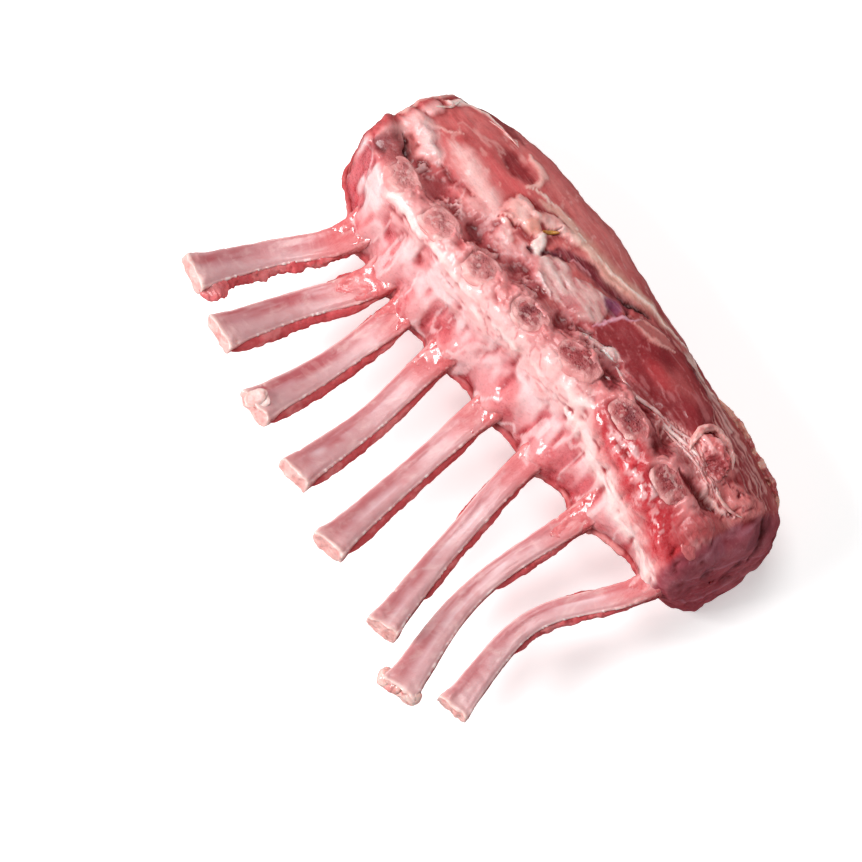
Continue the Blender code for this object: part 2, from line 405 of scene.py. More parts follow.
class Pile:
    """Tubes gathered into one mesh, with their painted layers."""

    def __init__(self):
        self.points, self.quads, self.triangles, self.layers = [], [], [], {}
        self.count = 0

    def add(self, grid, layers):
        """Adds a tube: rows of points that close on themselves, and each layer's value at each point."""
        rows, columns = grid.shape[:2]
        ends = np.stack([grid[0].mean(axis=0), grid[-1].mean(axis=0)])
        quads, triangles = tube_faces(rows, columns, self.count)
        if looks_inward(grid):
            quads, triangles = quads[:, ::-1], triangles[:, ::-1]
        self.points.append(np.concatenate([grid.reshape(-1, 3), ends]))
        self.quads.append(quads)
        self.triangles.append(triangles)
        for name, values in layers.items():
            by_row = values.reshape(rows, columns, -1)
            skin = values.reshape(rows * columns, -1)
            whole = np.concatenate([skin, by_row[:1].mean(axis=1), by_row[-1:].mean(axis=1)])
            self.layers.setdefault(name, []).append(whole)
        self.count += rows * columns + len(ends)

    def make(self, name):
        """The mesh object, in metres and shaded smooth."""
        points = np.concatenate(self.points) * MM
        quads, triangles = np.concatenate(self.quads), np.concatenate(self.triangles)
        mesh = bpy.data.meshes.new(name)
        mesh.vertices.add(len(points))
        mesh.vertices.foreach_set("co", points.astype(np.float32).ravel())
        corners = np.concatenate([quads.ravel(), triangles.ravel()])
        mesh.loops.add(len(corners))
        mesh.loops.foreach_set("vertex_index", corners.astype(np.int32))
        starts = np.concatenate([np.arange(len(quads)) * 4, quads.size + np.arange(len(triangles)) * 3])
        mesh.polygons.add(len(starts))
        mesh.polygons.foreach_set("loop_start", starts.astype(np.int32))
        mesh.update(calc_edges=True)
        mesh.validate()
        mesh.shade_smooth()
        for layer, parts in self.layers.items():
            values = np.concatenate(parts)
            if values.shape[1] == 3:
                values = np.column_stack([values, np.ones(len(values))])
                mesh.attributes.new(layer, "FLOAT_COLOR", "POINT").data.foreach_set("color", values.ravel())
            else:
                mesh.attributes.new(layer, "FLOAT", "POINT").data.foreach_set("value", values.ravel())
        made = bpy.data.objects.new(name, mesh)
        bpy.context.scene.collection.objects.link(made)
        return made


def make_tube(name, grid, layers):
    """A piece that is one tube."""
    pile = Pile()
    pile.add(grid, layers)
    return pile.make(name)


def finish_piece(piece, material, slot, *nodes):
    """Gives a new piece its material and its body, and hides the solids that it stands for. The slot is not
    used.
    """
    piece.data.materials.append(material)
    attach(piece, BODY)
    if nodes:
        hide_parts(*nodes)


# --------------------------------------------
# Materials
# --------------------------------------------


NOISE_ROUGHNESS = 0.55
FLOOR_GLOW = 0.42  # how brightly the floor glows, like a table lit from below


class Wire:
    """A number or a colour from a socket. Python's operators on it add the Math nodes that work them out."""

    def __init__(self, paint, socket):
        self.paint = paint
        self.socket = socket

    def sum(self, operation, *values):
        """The result of a Math node on these values."""
        sockets = dict(enumerate(values))
        return self.paint.node("ShaderNodeMath", {"operation": operation}, sockets)

    def __add__(self, other):
        return self.sum("ADD", self, other)

    def __sub__(self, other):
        return self.sum("SUBTRACT", self, other)

    def __rsub__(self, other):
        return self.sum("SUBTRACT", other, self)

    def __mul__(self, other):
        return self.sum("MULTIPLY", self, other)

    __radd__ = __add__
    __rmul__ = __mul__

    def eased(self, start, end):
        """0 before start, 1 after end, and smooth between."""
        settings = {"interpolation_type": "SMOOTHSTEP"}
        sockets = {"Value": self, "From Min": start, "From Max": end}
        return self.paint.node("ShaderNodeMapRange", settings, sockets)


class Paint:
    """A material being made: one method adds any node, and a few more add the ones used often."""

    def __init__(self, name, **constants):
        self.material = bpy.data.materials.new(name)
        self.material.use_nodes = True
        self.tree = self.material.node_tree
        self.shader = self.tree.nodes["Principled BSDF"]
        for socket, value in constants.items():
            self.shader.inputs[socket.replace("_", " ")].default_value = value

    def put(self, target, value):
        """Links a socket to a wire, or sets its value."""
        if isinstance(value, Wire):
            self.tree.links.new(value.socket, target)
        else:
            target.default_value = value

    def node(self, kind, settings, sockets, output=0):
        """Adds a node of that type, with its settings and then its sockets, and returns one output."""
        made = self.tree.nodes.new(kind)
        for name, value in settings.items():
            setattr(made, name, value)
        for name, value in sockets.items():
            self.put(made.inputs[name], value)
        return Wire(self, made.outputs[output])

    def layer(self, name):
        """A painted layer of the mesh, as a number."""
        return self.node("ShaderNodeAttribute", {"attribute_name": name}, {}, "Fac")

    def layer_colour(self, name):
        """A painted layer of the mesh, as a colour."""
        return self.node("ShaderNodeAttribute", {"attribute_name": name}, {}, "Color")

    def place(self, stretch=(1, 1, 1), turn=0.0):
        """Where each point is, in millimetres, each axis divided by its stretch."""
        point = self.node("ShaderNodeTexCoord", {}, {}, "Object")
        scale = tuple(1 / (MM * part) for part in stretch)
        sockets = {"Vector": point, "Rotation": (0, 0, turn), "Scale": scale}
        return self.node("ShaderNodeMapping", {"vector_type": "POINT"}, sockets)

    def noise(self, size, detail, stretch=(1, 1, 1), turn=0.0, warp=0.0):
        """Soft unevenness from 0 to 1. Size is in millimetres, and turn in radians about Z."""
        sockets = {
            "Vector": self.place(stretch, turn), "Scale": 1 / size, "Detail": detail,
            "Roughness": NOISE_ROUGHNESS, "Distortion": warp,
        }
        return self.node("ShaderNodeTexNoise", {}, sockets)

    def cells(self, size):
        """How far each point is from the middle of its cell. Size is in millimetres."""
        return self.node("ShaderNodeTexVoronoi", {}, {"Vector": self.place(), "Scale": 1 / size}, "Distance")

    def mix(self, mask, first, second, blend="MIX"):
        """First where the mask is 0 and second where it is 1. Both are colours."""
        sockets = {0: mask, 6: first, 7: second}
        return self.node("ShaderNodeMix", {"data_type": "RGBA", "blend_type": blend}, sockets, 2)

    def bump(self, height, distance, strength):
        """Fine relief. Distance is in millimetres."""
        sockets = {"Height": height, "Distance": distance * MM, "Strength": strength}
        return self.node("ShaderNodeBump", {}, sockets)

    def finish(self, **sockets):
        """Feeds the shader, and returns the material."""
        for name, value in sockets.items():
            self.put(self.shader.inputs[name.replace("_", " ")], value)
        return self.material


def rgba(colour):
    """A colour with full cover, as a node's socket takes it."""
    return (*colour, 1.0)


def meat_material(colours):
    """Wet raw tissue. The painted layers say where it is fibrous, filmed over, spongy or wet."""
    paint = Paint(
        "wet meat", Subsurface_Weight=0.32, Subsurface_Radius=(1.0, 0.32, 0.24),
        Subsurface_Scale=1.8 * MM, Specular_IOR_Level=0.42, Coat_Roughness=0.05, IOR=1.4,
    )
    wet, grain = paint.layer("wet"), paint.layer("grain")
    sponge, film = paint.layer("sponge"), paint.layer("film")
    tint = paint.layer_colour("tint")
    mottle = paint.noise(5.0, 4.0, warp=0.6)
    fine = paint.noise(0.9, 3.0)
    fibres = paint.noise(1.5, 3.0, stretch=(11, 0.8, 0.8), turn=0.16, warp=0.6)
    strands = paint.noise(2.6, 4.0, stretch=(5, 0.9, 0.9), turn=-0.12, warp=1.4)
    pores = paint.cells(0.8)
    colour = paint.mix((0.5 - mottle).eased(-0.1, 0.22) * 0.3, tint, rgba(colours.deep_meat), "SOFT_LIGHT")
    colour = paint.mix((0.5 - fine).eased(0.0, 0.2) * 0.1, colour, rgba(colours.deep_meat))
    colour = paint.mix((fine - 0.5).eased(0.04, 0.2) * 0.07, colour, rgba(colours.pale_meat))
    colour = paint.mix((fibres - 0.5).eased(0.02, 0.2) * grain * 0.3, colour, rgba(colours.pale_meat))
    colour = paint.mix((0.5 - fibres).eased(0.03, 0.2) * grain * 0.22, colour, rgba(colours.deep_meat))
    colour = paint.mix((strands - 0.5).eased(0.02, 0.16) * film * 0.5, colour, rgba(colours.membrane))
    speck = paint.noise(0.7, 3.0)
    colour = paint.mix((speck - 0.5).eased(-0.04, 0.16) * sponge * 0.22, colour, rgba(colours.sawn_bone))
    colour = paint.mix((0.36 - pores).eased(0.0, 0.22) * sponge * 0.4, colour, rgba(colours.marrow))
    beads = paint.noise(3.0, 2.0, warp=0.9)
    drops = paint.noise(1.1, 1.0)
    runny = wet * (beads - 0.5).eased(-0.2, 0.05)
    roughness = 0.47 - 0.2 * wet + (fine - 0.5) * 0.16 + sponge * 0.2
    height = (fine - 0.5) * (0.1 - 0.05 * wet) + (fibres - 0.5) * grain * 0.3
    height = height + (strands - 0.5) * (0.06 + 0.4 * film)
    height = height + (beads - 0.5) * wet * 0.42 + (drops - 0.5) * wet * 0.2
    height = height - (0.4 - pores).eased(0.0, 0.4) * sponge * 0.4
    return paint.finish(
        Base_Color=colour, Roughness=roughness, Coat_Weight=runny, Normal=paint.bump(height, 0.8, 0.8)
    )


def bone_material(colours):
    """Scraped rib bone: damp and slightly clear, streaked along its length by the painted layers, which also
    carry painted shade and highlights.
    """
    paint = Paint(
        "rib bone", Subsurface_Weight=0.22, Subsurface_Radius=(1.0, 0.5, 0.42),
        Subsurface_Scale=1.4 * MM, Specular_IOR_Level=0.45, Coat_Roughness=0.14,
    )
    wet, sponge = paint.layer("wet"), paint.layer("sponge")
    tint = paint.layer_colour("tint")
    mottle = paint.noise(4.0, 4.0, stretch=(1, 2, 1), warp=0.4)
    fine = paint.noise(0.7, 3.0, stretch=(1, 3, 1))
    pores = paint.cells(0.8)
    colour = paint.mix((mottle - 0.5).eased(-0.02, 0.24) * 0.3, tint, rgba(colours.pale_bone))
    colour = paint.mix((0.5 - mottle).eased(0.02, 0.22) * 0.22, colour, rgba(colours.pale_meat), "MULTIPLY")
    colour = paint.mix((0.36 - pores).eased(0.0, 0.22) * sponge * 0.6, colour, rgba(colours.marrow))
    roughness = 0.4 - 0.16 * wet + (fine - 0.5) * 0.2 + sponge * 0.2
    height = (fine - 0.5) * 0.3 + (mottle - 0.5) * 0.4 - (0.4 - pores).eased(0.0, 0.4) * sponge * 0.5
    return paint.finish(
        Base_Color=colour, Roughness=roughness, Coat_Weight=wet * 0.5, Normal=paint.bump(height, 0.5, 0.6)
    )


def sawn_material(colours):
    """Sawn spongy bone: a fine net of pale bone with dark marrow in its pores."""
    paint = Paint(
        "sawn bone", Subsurface_Weight=0.2, Subsurface_Radius=(1.0, 0.4, 0.3), Subsurface_Scale=1.2 * MM,
        Specular_IOR_Level=0.42, Coat_Roughness=0.1,
    )
    sponge, wet = paint.layer("sponge"), paint.layer("wet")
    tint = paint.layer_colour("tint")
    pores = paint.cells(1.0)
    specks = paint.noise(0.5, 2.0)
    blotches = paint.noise(3.2, 3.0, warp=0.8)
    colour = paint.mix((blotches - 0.5).eased(-0.1, 0.2) * sponge * 0.45, tint, rgba(colours.marrow))
    colour = paint.mix((0.38 - pores).eased(0.0, 0.25) * sponge * 0.5, colour, rgba(colours.marrow))
    colour = paint.mix((specks - 0.5).eased(0.0, 0.2) * (0.1 + 0.2 * sponge), colour, rgba(colours.sawn_bone))
    height = (specks - 0.5) * 0.5 - (0.42 - pores).eased(0.0, 0.42) * sponge
    roughness = 0.5 - 0.2 * wet + (blotches - 0.5) * 0.3
    return paint.finish(
        Base_Color=colour, Roughness=roughness, Coat_Weight=wet * 0.4, Normal=paint.bump(height, 0.5, 0.8)
    )


def floor_material(colour):
    """A plain pale table top, lit from below."""
    paint = Paint(
        "pale floor", Roughness=0.85, Specular_IOR_Level=0.1, Emission_Color=(1.0, 1.0, 1.0, 1.0),
        Emission_Strength=FLOOR_GLOW,
    )
    dust = paint.noise(40.0, 2.0)
    return paint.finish(Base_Color=paint.mix(dust * 0.02, rgba(colour), (0.8, 0.8, 0.8, 1)))


# --------------------------------------------
# The loin
# --------------------------------------------

LOIN_RINGS = 296
FACE_RINGS = 24
FACE_MIDDLE = 0.03  # how wide the hole in the middle of an end face is, which one fan of faces closes
BACK_STRIP_HEIGHT = 17  # how high the strip of fat along the back side runs
HOLLOW_REACH = 4  # how many points away a hollow's walls are looked for
CREVICE_SHADE = (0.52, 0.15, 0.17)  # how much of a colour, as light, painted shade leaves deep in a crevice
RING_POWER = 2.4  # how square the seats of the sawn bones are
RIB_BULGE = 7.0  # how wide a rib's bulge under the inner slope's membrane is
# How many points the outline of a cut has after each of its corners: few underneath, many where it shows.
CORNER_POINTS = (5, 5, 6, 14, 18, 28, 28, 12, 18, 12, 22, 26, 14, 12, 12, 8)

# Stretches round a cut, counted in its corners: where each starts, is whole, begins to end, and ends
BACK_SIDE = (2.2, 3.0, 4.6, 5.2)
ABOVE_BACK = (4.6, 5.2, 12.6, 13.2)
UPPER_SIDE = (3.7, 4.3, 13.0, 13.4)
MUSCLE_TOP = (4.3, 4.9, 7.0, 7.5)
SAWN_STRIP = (6.9, 7.4, 8.9, 9.4)
INNER_SLOPE = (8.9, 9.4, 12.8, 13.2)
TRIMMED_LIP = (12.7, 13.1, 15.2, 15.9)
# How far from the middle, along X, the looks of the two cut ends start and are whole
TAIL_FACE = (82.5, 86.0)
NECK_FACE = (107, 111)

# Every place on the loin below is an x and a y, seen from above.

# A pale crescent of fat beside the dark oval at the neck
CRESCENT = ((76, -33), (70, -33.8), (65, -32), (62.5, -28), (64, -24.5))
# The muscle beyond it, which turns down at the back
OUTER_MUSCLE = ((109, -22), (104, -26.5), (92, -31), (80, -33), (95, -38), (110, -33))
# Where the neck's muscle is palest, and the torn white tissue beside the sawn bones
PALE_MUSCLE = ((94, -10), (82, -10), (70, -8.5), (57, -6.5), (48, -6))
TORN_TISSUE = ((72, 1), (60, -2.5), (50, -4.5), (40, -6), (30, -4.5))
# The neck end's lumps: x, y, half length. Then its wet streak, and the white seam between two muscles
NECK_LUMPS = ((103, 9, 5), (108, 4, 5), (109, -3, 5.5), (100, -2, 5), (93, 0.5, 4.5), (110, -12, 4.5))
NECK_STREAK = ((112, -7), (103, -5.2), (96, -3.2), (86, 0))
NECK_SEAM = ((110, -17), (106, -20), (107, -23), (104, -25.5), (97, -28), (90, -29.5), (82, -31.5))

# Dark hollows of sponge between the sawn bones: x, y, half length, half width, how dark
ARCHES = (
    (78, 5.5, 4.6, 5.4, 0.45), (56, 3, 4.8, 4.6, 0.8), (36, -2, 4.2, 4.0, 0.75), (9, -4.5, 4.6, 5.6, 0.9),
    (-16, -8, 5.6, 4.4, 1.0), (-44, -11, 6.0, 4.4, 1.0), (-69, -12.5, 7.0, 2.8, 0.9),
)
# Torn white folds between them: x, y, half length, half width
CRUMPLED = (
    (70, 5.5, 4.5, 4.0), (47, 4.5, 6.0, 3.6), (26, -2, 5.0, 4.5), (88, 7, 5.0, 3.0), (-3, -8, 4.0, 3.0),
    (-30, -13, 5.0, 2.4),
)
# Dark clots beside the last bare bones: x, y, half length, half width
DARK_CLOTS = ((-17.5, -7.5, 4.4, 3.6), (-46, -9.6, 5.6, 3.8))
# The white crest where the sawn strip turns down into the inner slope, and a pale fold below its tail half
INNER_RIDGE = (
    (84, 19), (70, 18.5), (60, 17.5), (49, 16.5), (39, 16), (31, 15), (23, 13), (11, 11), (2, 8.5),
    (-10, 6.5), (-20, 4.5), (-29, 5), (-39, 6), (-51, 6.5), (-59, 7.5), (-69, 10), (-79, 13), (-88, 16),
)
RIDGE_FOLD = ((-14, 8), (-29, 9), (-39, 10), (-51, 10.5), (-62, 12), (-74, 15), (-86, 19))

# The heap of fat halfway along, and its lumps: x, y, half length, half width, how high
FAT_HEAP = ((58, -6), (61, -13), (60, -17), (54, -23), (48, -27), (42, -26), (42, -20), (46, -14), (50, -8))
FAT_LUMPS = (
    (54, -15.5, 6.0, 5.0, 1.5), (47, -23, 4.6, 3.4, 1.0), (55, -8.6, 2.8, 2.0, 1.3),
    (49, -15, 3.2, 2.6, 1.0), (58, -19.5, 3.0, 2.2, 0.7), (41.5, -25.5, 2.8, 2.0, 1.0),
    (37.5, -28, 2.6, 2.0, 0.8), (51, -20, 3.0, 2.4, 0.8),
)
# The streaked sheet of tendon beside the heap, and the purple meat behind both
TENDON_SHEET = (
    (37, -11), (35, -17), (31, -19.5), (25, -18), (20, -23), (16, -24), (10, -26), (7, -22.5), (5, -16.5),
    (10, -10.5), (17, -8), (22, -7), (28, -6.6), (34, -7.2),
)
PURPLE_STRIP = ((43, -9.5), (38, -14), (34.5, -18.5), (31, -22))
DARK_STRIP = ((36, -21), (29, -24.5), (23, -27.5), (15, -30), (8, -30.5), (3, -28.5))

# The smooth dark muscle towards the tail, the edges of a tear in it, the bright tendons along its chine
# side with their widths, and the dark gaps beside them
DARK_MUSCLE = (
    (4, -12), (4.5, -19), (3, -26), (-2, -33), (-9, -36.5), (-16, -37.5), (-26, -40), (-34, -39), (-44, -35),
    (-49, -24), (-44, -20.5), (-34, -19.5), (-24, -16.5), (-12, -14.5), (-3, -14),
)
TEAR_EDGES = (((1, -28), (-6, -29.3), (-13, -31.2), (-18, -35)), ((0, -30.5), (-5, -33.5), (-12, -35.6)))
BRIGHT_TENDONS = (
    (((5, -8.6), (0, -11.6), (-6, -13.2), (-10, -12.8)), 2.4),
    (((4, -6.8), (-1, -9.6), (-7, -11)), 1.3),
)
TENDON_GAPS = (((4, -10.4), (-1, -12.8), (-6, -15)), ((3, -7.8), (-2, -10.4), (-7, -11.9)))

# Along the back: a strip of fat, the white seam beside it, thin fat further on, and where the muscle
# turns down at the tail
BACK_FAT = ((57, -26), (47, -30), (36, -31), (27, -31.5), (17, -34), (9, -36), (-1, -39.5), (-12, -41))
BACK_SEAM = ((48, -30.5), (28, -31.5), (13, -35), (2, -38.2), (-12, -41), (-25, -41.8), (-38, -41))
THIN_FAT = ((-12, -38.5), (-25, -40.5), (-38, -40.5), (-52, -37.5))
TAIL_EDGE = ((-30, -40.5), (-42, -40), (-52, -39), (-62, -38), (-72, -37), (-82, -35))
# Fine lines along that edge: how far inside it each runs, and its width
TAIL_LINES = ((0.0, 1.6), (2.0, 0.8), (3.4, 1.0), (5.2, 0.6))

# The running wet red ledge beside the last sawn bones
RED_LEDGE = ((-29, 0.5), (-40, 1.6), (-48, 2), (-60, 3), (-72, 4.5), (-79, 6.5), (-86, 7))
# Where white glints are painted on it: x, y, half length, half width
WET_GLINTS = ((-34, 1, 3, 2), (-40, 1.6, 4.5, 3), (-48, 2, 5, 3), (-58, 2.8, 5, 3.2), (-70, 4.6, 5.5, 3.2))
# The fibrous lumps at the tail's corner: x, y, half length, half width. Then the striped band beside them
TAIL_LUMPS = ((-61, -23, 8, 6.5), (-69, -18, 5, 4), (-74, -25, 5, 4), (-80, -28, 4, 4), (-79, -20, 5, 5))
STRIPED_BAND = ((-34, -15.5), (-46, -18), (-57, -19), (-72, -17.5))

# Lines of fascia on the two cut ends: places as y and z, and a width
TAIL_FASCIA = (
    (((-34, 42), (-22, 46), (-10, 49), (4, 52)), 1.8),
    (((-30, 20), (-14, 34), (0, 40), (8, 46)), 1.2),
    (((-26, 12), (-12, 16), (4, 20), (12, 30)), 1.0),
)
NECK_FASCIA = (
    (((-26, 28), (-18, 44), (-2, 50), (12, 44)), 2.2),
    (((-24, 20), (-8, 19), (8, 24), (16, 34)), 2.6),
)


class LoinCanvas(Canvas):
    """The loin's canvas, which can also be painted from above, on the side that faces up."""

    def __init__(self, points, colour, plan, up):
        super().__init__(points, colour)
        self.plan = plan
        self.up = up

    def line(self, path, width, colour, relief=None, soft=0.6, share=1.0, **finish):
        """A soft line that thins out at both ends. Share is how much it covers what lies below."""
        self.paint(self.up * stroke(self.plan, path, width, soft) * share, colour, relief, **finish)

    def spot(self, centre, radii, turn, colour, relief=None, soft=0.5, share=1.0, **finish):
        """A soft oval, turned by degrees. Share is how much it covers what lies below."""
        self.paint(self.up * oval(self.plan, centre, radii, turn, soft) * share, colour, relief, **finish)


def loin_grid():
    """The loin's skin before any relief, in rows along X, and where each point is round its cut."""
    x = np.linspace(TAIL + END_INSET, NECK - END_INSET, LOIN_RINGS)
    corners = loin_corners(x)
    count = corners.shape[1]
    steps = [corner + np.arange(points) / points for corner, points in enumerate(CORNER_POINTS)]
    place = np.concatenate(steps)
    first = place.astype(int)
    t = (place - first)[None, :, None]
    before, start, end, after = (corners[:, (first + step) % count] for step in (-1, 0, 1, 2))
    loops = (
        (1 + 2 * t) * (1 - t) ** 2 * start
        + t * (1 - t) ** 2 * (end - before) / 2
        + t * t * (3 - 2 * t) * end
        + t * t * (t - 1) * (after - start) / 2
    )
    middle = np.array(END_MIDDLE)
    loops = middle + (loops - middle) * end_share(x)[:, None, None]
    inward = np.linspace(FACE_MIDDLE, 1, FACE_RINGS, endpoint=False)[:, None, None]
    tail_face = middle + (loops[:1] - middle) * inward
    neck_face = middle + (loops[-1:] - middle) * inward[::-1]
    x = np.concatenate([np.full(FACE_RINGS, x[0]), x, np.full(FACE_RINGS, x[-1])])
    loops = np.concatenate([tail_face, loops, neck_face])
    loops[:, :, 1] = np.maximum(loops[:, :, 1], 0)
    across = np.broadcast_to(x[:, None, None], loops.shape[:2] + (1,))
    grid = np.concatenate([across, loops], axis=2)
    return grid, np.broadcast_to(place, grid.shape[:2])


def paint_outside(canvas, colours, x, z, place):
    """The fat side that the rack lies on: muscle under silvery films, with strips of fat."""
    points = canvas.points
    canvas.paint(noise(points, 14, 21) * 0.5 + 0.5, srgb(190, 92, 92))
    side = between(place, *BACK_SIDE)
    canvas.paint(side, srgb(176, 78, 80), grain=0.3, film=0.3)
    rope = noise(points, (40, 8, 5), 22)
    bare = 1 - between(place, *ABOVE_BACK)
    canvas.paint(ease(rope, 0.05, 0.4) * bare * 0.6, srgb(212, 140, 136), film=0.6)
    strip = z - BACK_STRIP_HEIGHT - 3 * noise(points, 30, 23) - 0.03 * x
    canvas.paint(side * (1 - ease(np.abs(strip), 1.5, 4.0)) * 0.85, colours.fat, 0.9, grain=0.1)
    under = ease(-z, -9, -3)
    canvas.paint(under * patches(points, 16, 24, -0.3, 0.4), colours.fat, 0.0, grain=0.1)
    canvas.paint(side * patches(points, (30, 4, 3), 25, 0.3, 0.7), srgb(150, 52, 58), -0.5)
    canvas.paint(side * thread(points, (34, 6, 6), 26) * 0.6, srgb(232, 178, 174), 0.2)


def paint_muscle(canvas, plan, top, up):
    """The long muscle at the neck: soft reds, a dark oval in a pale crescent, and thin pale lines."""
    x, points = plan[:, 0], canvas.points
    canvas.paint(top, srgb(204, 104, 102), grain=0.4, film=0.25)
    canvas.paint(top * ease(x, 40, 66), srgb(212, 106, 105), grain=0.4, film=0.1, wet=0.12)
    canvas.paint(top * ease(-x, -24, 6), srgb(160, 54, 58), grain=0.25)
    canvas.paint(top * patches(points, (16, 5, 5), 31, 0.1, 0.7) * 0.5, srgb(226, 132, 128))
    # A bright red stretch, a darker one behind it, and the dark oval
    canvas.line(((99, -8), (82, -13), (68, -18), (57, -23)), 10, srgb(216, 96, 97), soft=0.9)
    canvas.line(((98, -11), (88, -17), (81, -22), (70, -27)), 7, srgb(176, 70, 70), soft=0.9, share=0.35)
    canvas.spot((73, -26.5), (9, 4), 6, srgb(158, 54, 58), -0.5, soft=0.7)
    canvas.paint(up * thread(points, (22, 5, 5), 33) * 0.45 * top, srgb(236, 178, 172), 0.12)
    # The crescent, and the seam that runs on from it
    canvas.line(CRESCENT, 2.2, srgb(238, 182, 174), 0.6)
    canvas.line(((64, -24), (58, -29), (50, -30.3), (41, -31)), 1.1, srgb(244, 208, 198), 0.3)
    canvas.paint(up * field(plan, OUTER_MUSCLE), srgb(164, 66, 68), -0.3)
    pale = stroke(plan, PALE_MUSCLE, 9, 1.0)
    canvas.paint(
        up * pale * patches(points, (12, 5, 5), 34, -1.0, 0.2) * 0.85,
        srgb(252, 206, 202), 0.5, wet=0.6,
    )
    tissue = stroke(plan, TORN_TISSUE, 8, 1.0, taper=False)
    canvas.paint(
        up * tissue * patches(points, (6, 4, 4), 32, -0.9, 0.2) * 0.9,
        srgb(240, 176, 174), 0.5, wet=0.7, grain=0.0,
    )
    canvas.paint(up * tissue * thread(points, (9, 5, 5), 30, 0.2) * 0.6, srgb(248, 208, 206), 0.3)
    # A dark red cut at the upper end of that tissue
    canvas.line(((87, -0.5), (77, -2.5), (68, -5)), 2.6, srgb(170, 50, 54), -0.6, grain=0.9)


def paint_fat(canvas, colours, plan, up):
    """A heap of fat lumps halfway along, with painted highlights on the lumps and painted shade in the
    creases between them, and the purple meat and the white tendon beside it.
    """
    points = canvas.points
    heap = up * field(plan, FAT_HEAP, 1.6)
    canvas.paint(heap, srgb(232, 156, 153), 0.7, grain=0.0, film=0.1, wet=0.3)
    for x0, y0, long, wide, high in FAT_LUMPS:
        mask = up * oval(plan, (x0, y0), (long, wide), 15, 0.6)
        canvas.paint(mask, srgb(239, 176, 169), high * 1.1, grain=0.0, film=0.1, wet=0.5)
        # A painted highlight on each lump, a little off its middle
        canvas.spot(
            (x0 + 0.6, y0 + 0.8), (long * 0.5, wide * 0.45), 15,
            srgb(248, 206, 200), soft=1.0, share=0.7,
        )
    # Painted shade in the creases between the lumps, a warm stain, a red cut and a dark nick
    crease_shade = 1 - ease(creases(points, 5.0, 35), 0.04, 0.22)
    canvas.paint(heap * crease_shade * 0.5, srgb(226, 138, 128), -0.3)
    canvas.spot((49, -15.5), (3.0, 2.2), 20, srgb(240, 164, 144), soft=0.8, share=0.7)
    canvas.line(((59, -6.5), (53, -9.8), (47, -13)), 1.0, srgb(186, 54, 56), -0.8)
    canvas.line(((45, -19), (43, -21.5), (43.5, -24)), 1.8, srgb(120, 44, 44), -0.8)
    # The purple and dark meat round the heap, with two pale lines along it
    canvas.line(PURPLE_STRIP, 3.6, colours.purple_meat, -1.0, wet=0.4)
    canvas.line(DARK_STRIP, 6.4, srgb(140, 52, 62), -0.9, grain=0.5)
    canvas.line(((34, -20), (28, -23.5), (21, -26)), 0.9, srgb(214, 140, 146), 0.3)
    canvas.line(((31, -27.5), (21, -30.5), (12, -33.5)), 1.6, srgb(220, 150, 144), 0.5)
    # A white knob at the heap's edge
    canvas.spot((41.5, -14.5), (4.6, 3.0), -35, srgb(246, 222, 216), 1.4, grain=0.0, wet=0.6)
    # The sheet of tendon: its streaks, a white rim, a purple spot, and deep gaps at its end
    sheet = up * field(plan, TENDON_SHEET, 1.4)
    streaks = noise(points, (8, 1.3, 2), 36)
    canvas.paint(sheet, srgb(220, 172, 167), 0.7, grain=0.0, film=0.3, wet=0.3)
    canvas.paint(sheet * ease(streaks, 0.0, 0.5) * 0.8, srgb(208, 126, 128), -0.3, wet=0.7)
    canvas.paint(sheet * ease(-streaks, 0.15, 0.6) * 0.8, srgb(238, 206, 202), 0.25, wet=0.6)
    canvas.line(((33, -8), (27, -7.6), (21, -7.2)), 1.5, srgb(251, 230, 226), 0.8)
    canvas.spot((8, -25), (3.6, 2.6), 0, srgb(150, 76, 108), -0.2, soft=0.8, wet=0.6)
    canvas.line(((9, -8.5), (5, -11), (2, -13.5)), 3.0, srgb(96, 30, 42), -1.2)
    canvas.line(((11, -30), (5, -32.5), (-2, -36)), 2.2, colours.deep_meat, -1.6)


def paint_dark_muscle(canvas, plan, up):
    """The smooth maroon muscle towards the tail, with a paler tear in it, and the tendons at its edge."""
    points = canvas.points
    muscle = up * field(plan, DARK_MUSCLE, 2.0)
    canvas.paint(muscle, srgb(148, 44, 50), 0.8, grain=0.12, film=0.04, wet=0.1)
    canvas.paint(muscle * patches(points, (14, 7, 7), 37, 0.1, 0.6) * 0.6, srgb(174, 68, 70))
    # Two paler stretches, and fine wet lines all over
    canvas.spot((-23, -25.5), (7, 3), 8, srgb(184, 58, 62), soft=0.9, share=0.8)
    canvas.spot((-30, -30), (9, 3), 10, srgb(188, 92, 92), soft=0.9, share=0.6)
    canvas.paint(muscle * thread(points, (20, 6, 6), 38) * 0.5, srgb(202, 122, 124), 0.1)
    canvas.paint(muscle * thread(points, (5, 3, 3), 40, 0.12), None, 0.1, wet=0.8)
    # The tear and its pale edges
    canvas.spot((-8, -31.8), (8.5, 2.7), 17, srgb(196, 108, 104), 0.3)
    for path in TEAR_EDGES:
        canvas.line(path, 0.9, srgb(228, 160, 154), 0.25)
    # A mauve film at the muscle's near edge, and the tendons with dark gaps beside them
    canvas.line(((4.5, -13.5), (5, -20), (3, -26), (-2, -31)), 1.1, srgb(216, 156, 172), 0.4)
    for path, width in BRIGHT_TENDONS:
        canvas.line(path, width, srgb(250, 228, 222), 0.9, grain=0.0, wet=0.7)
    canvas.spot((-8.5, -13), (3.6, 2.0), 0, srgb(250, 226, 220), 0.4)
    for path in TENDON_GAPS:
        canvas.line(path, 0.9, srgb(104, 36, 42), -1.0)


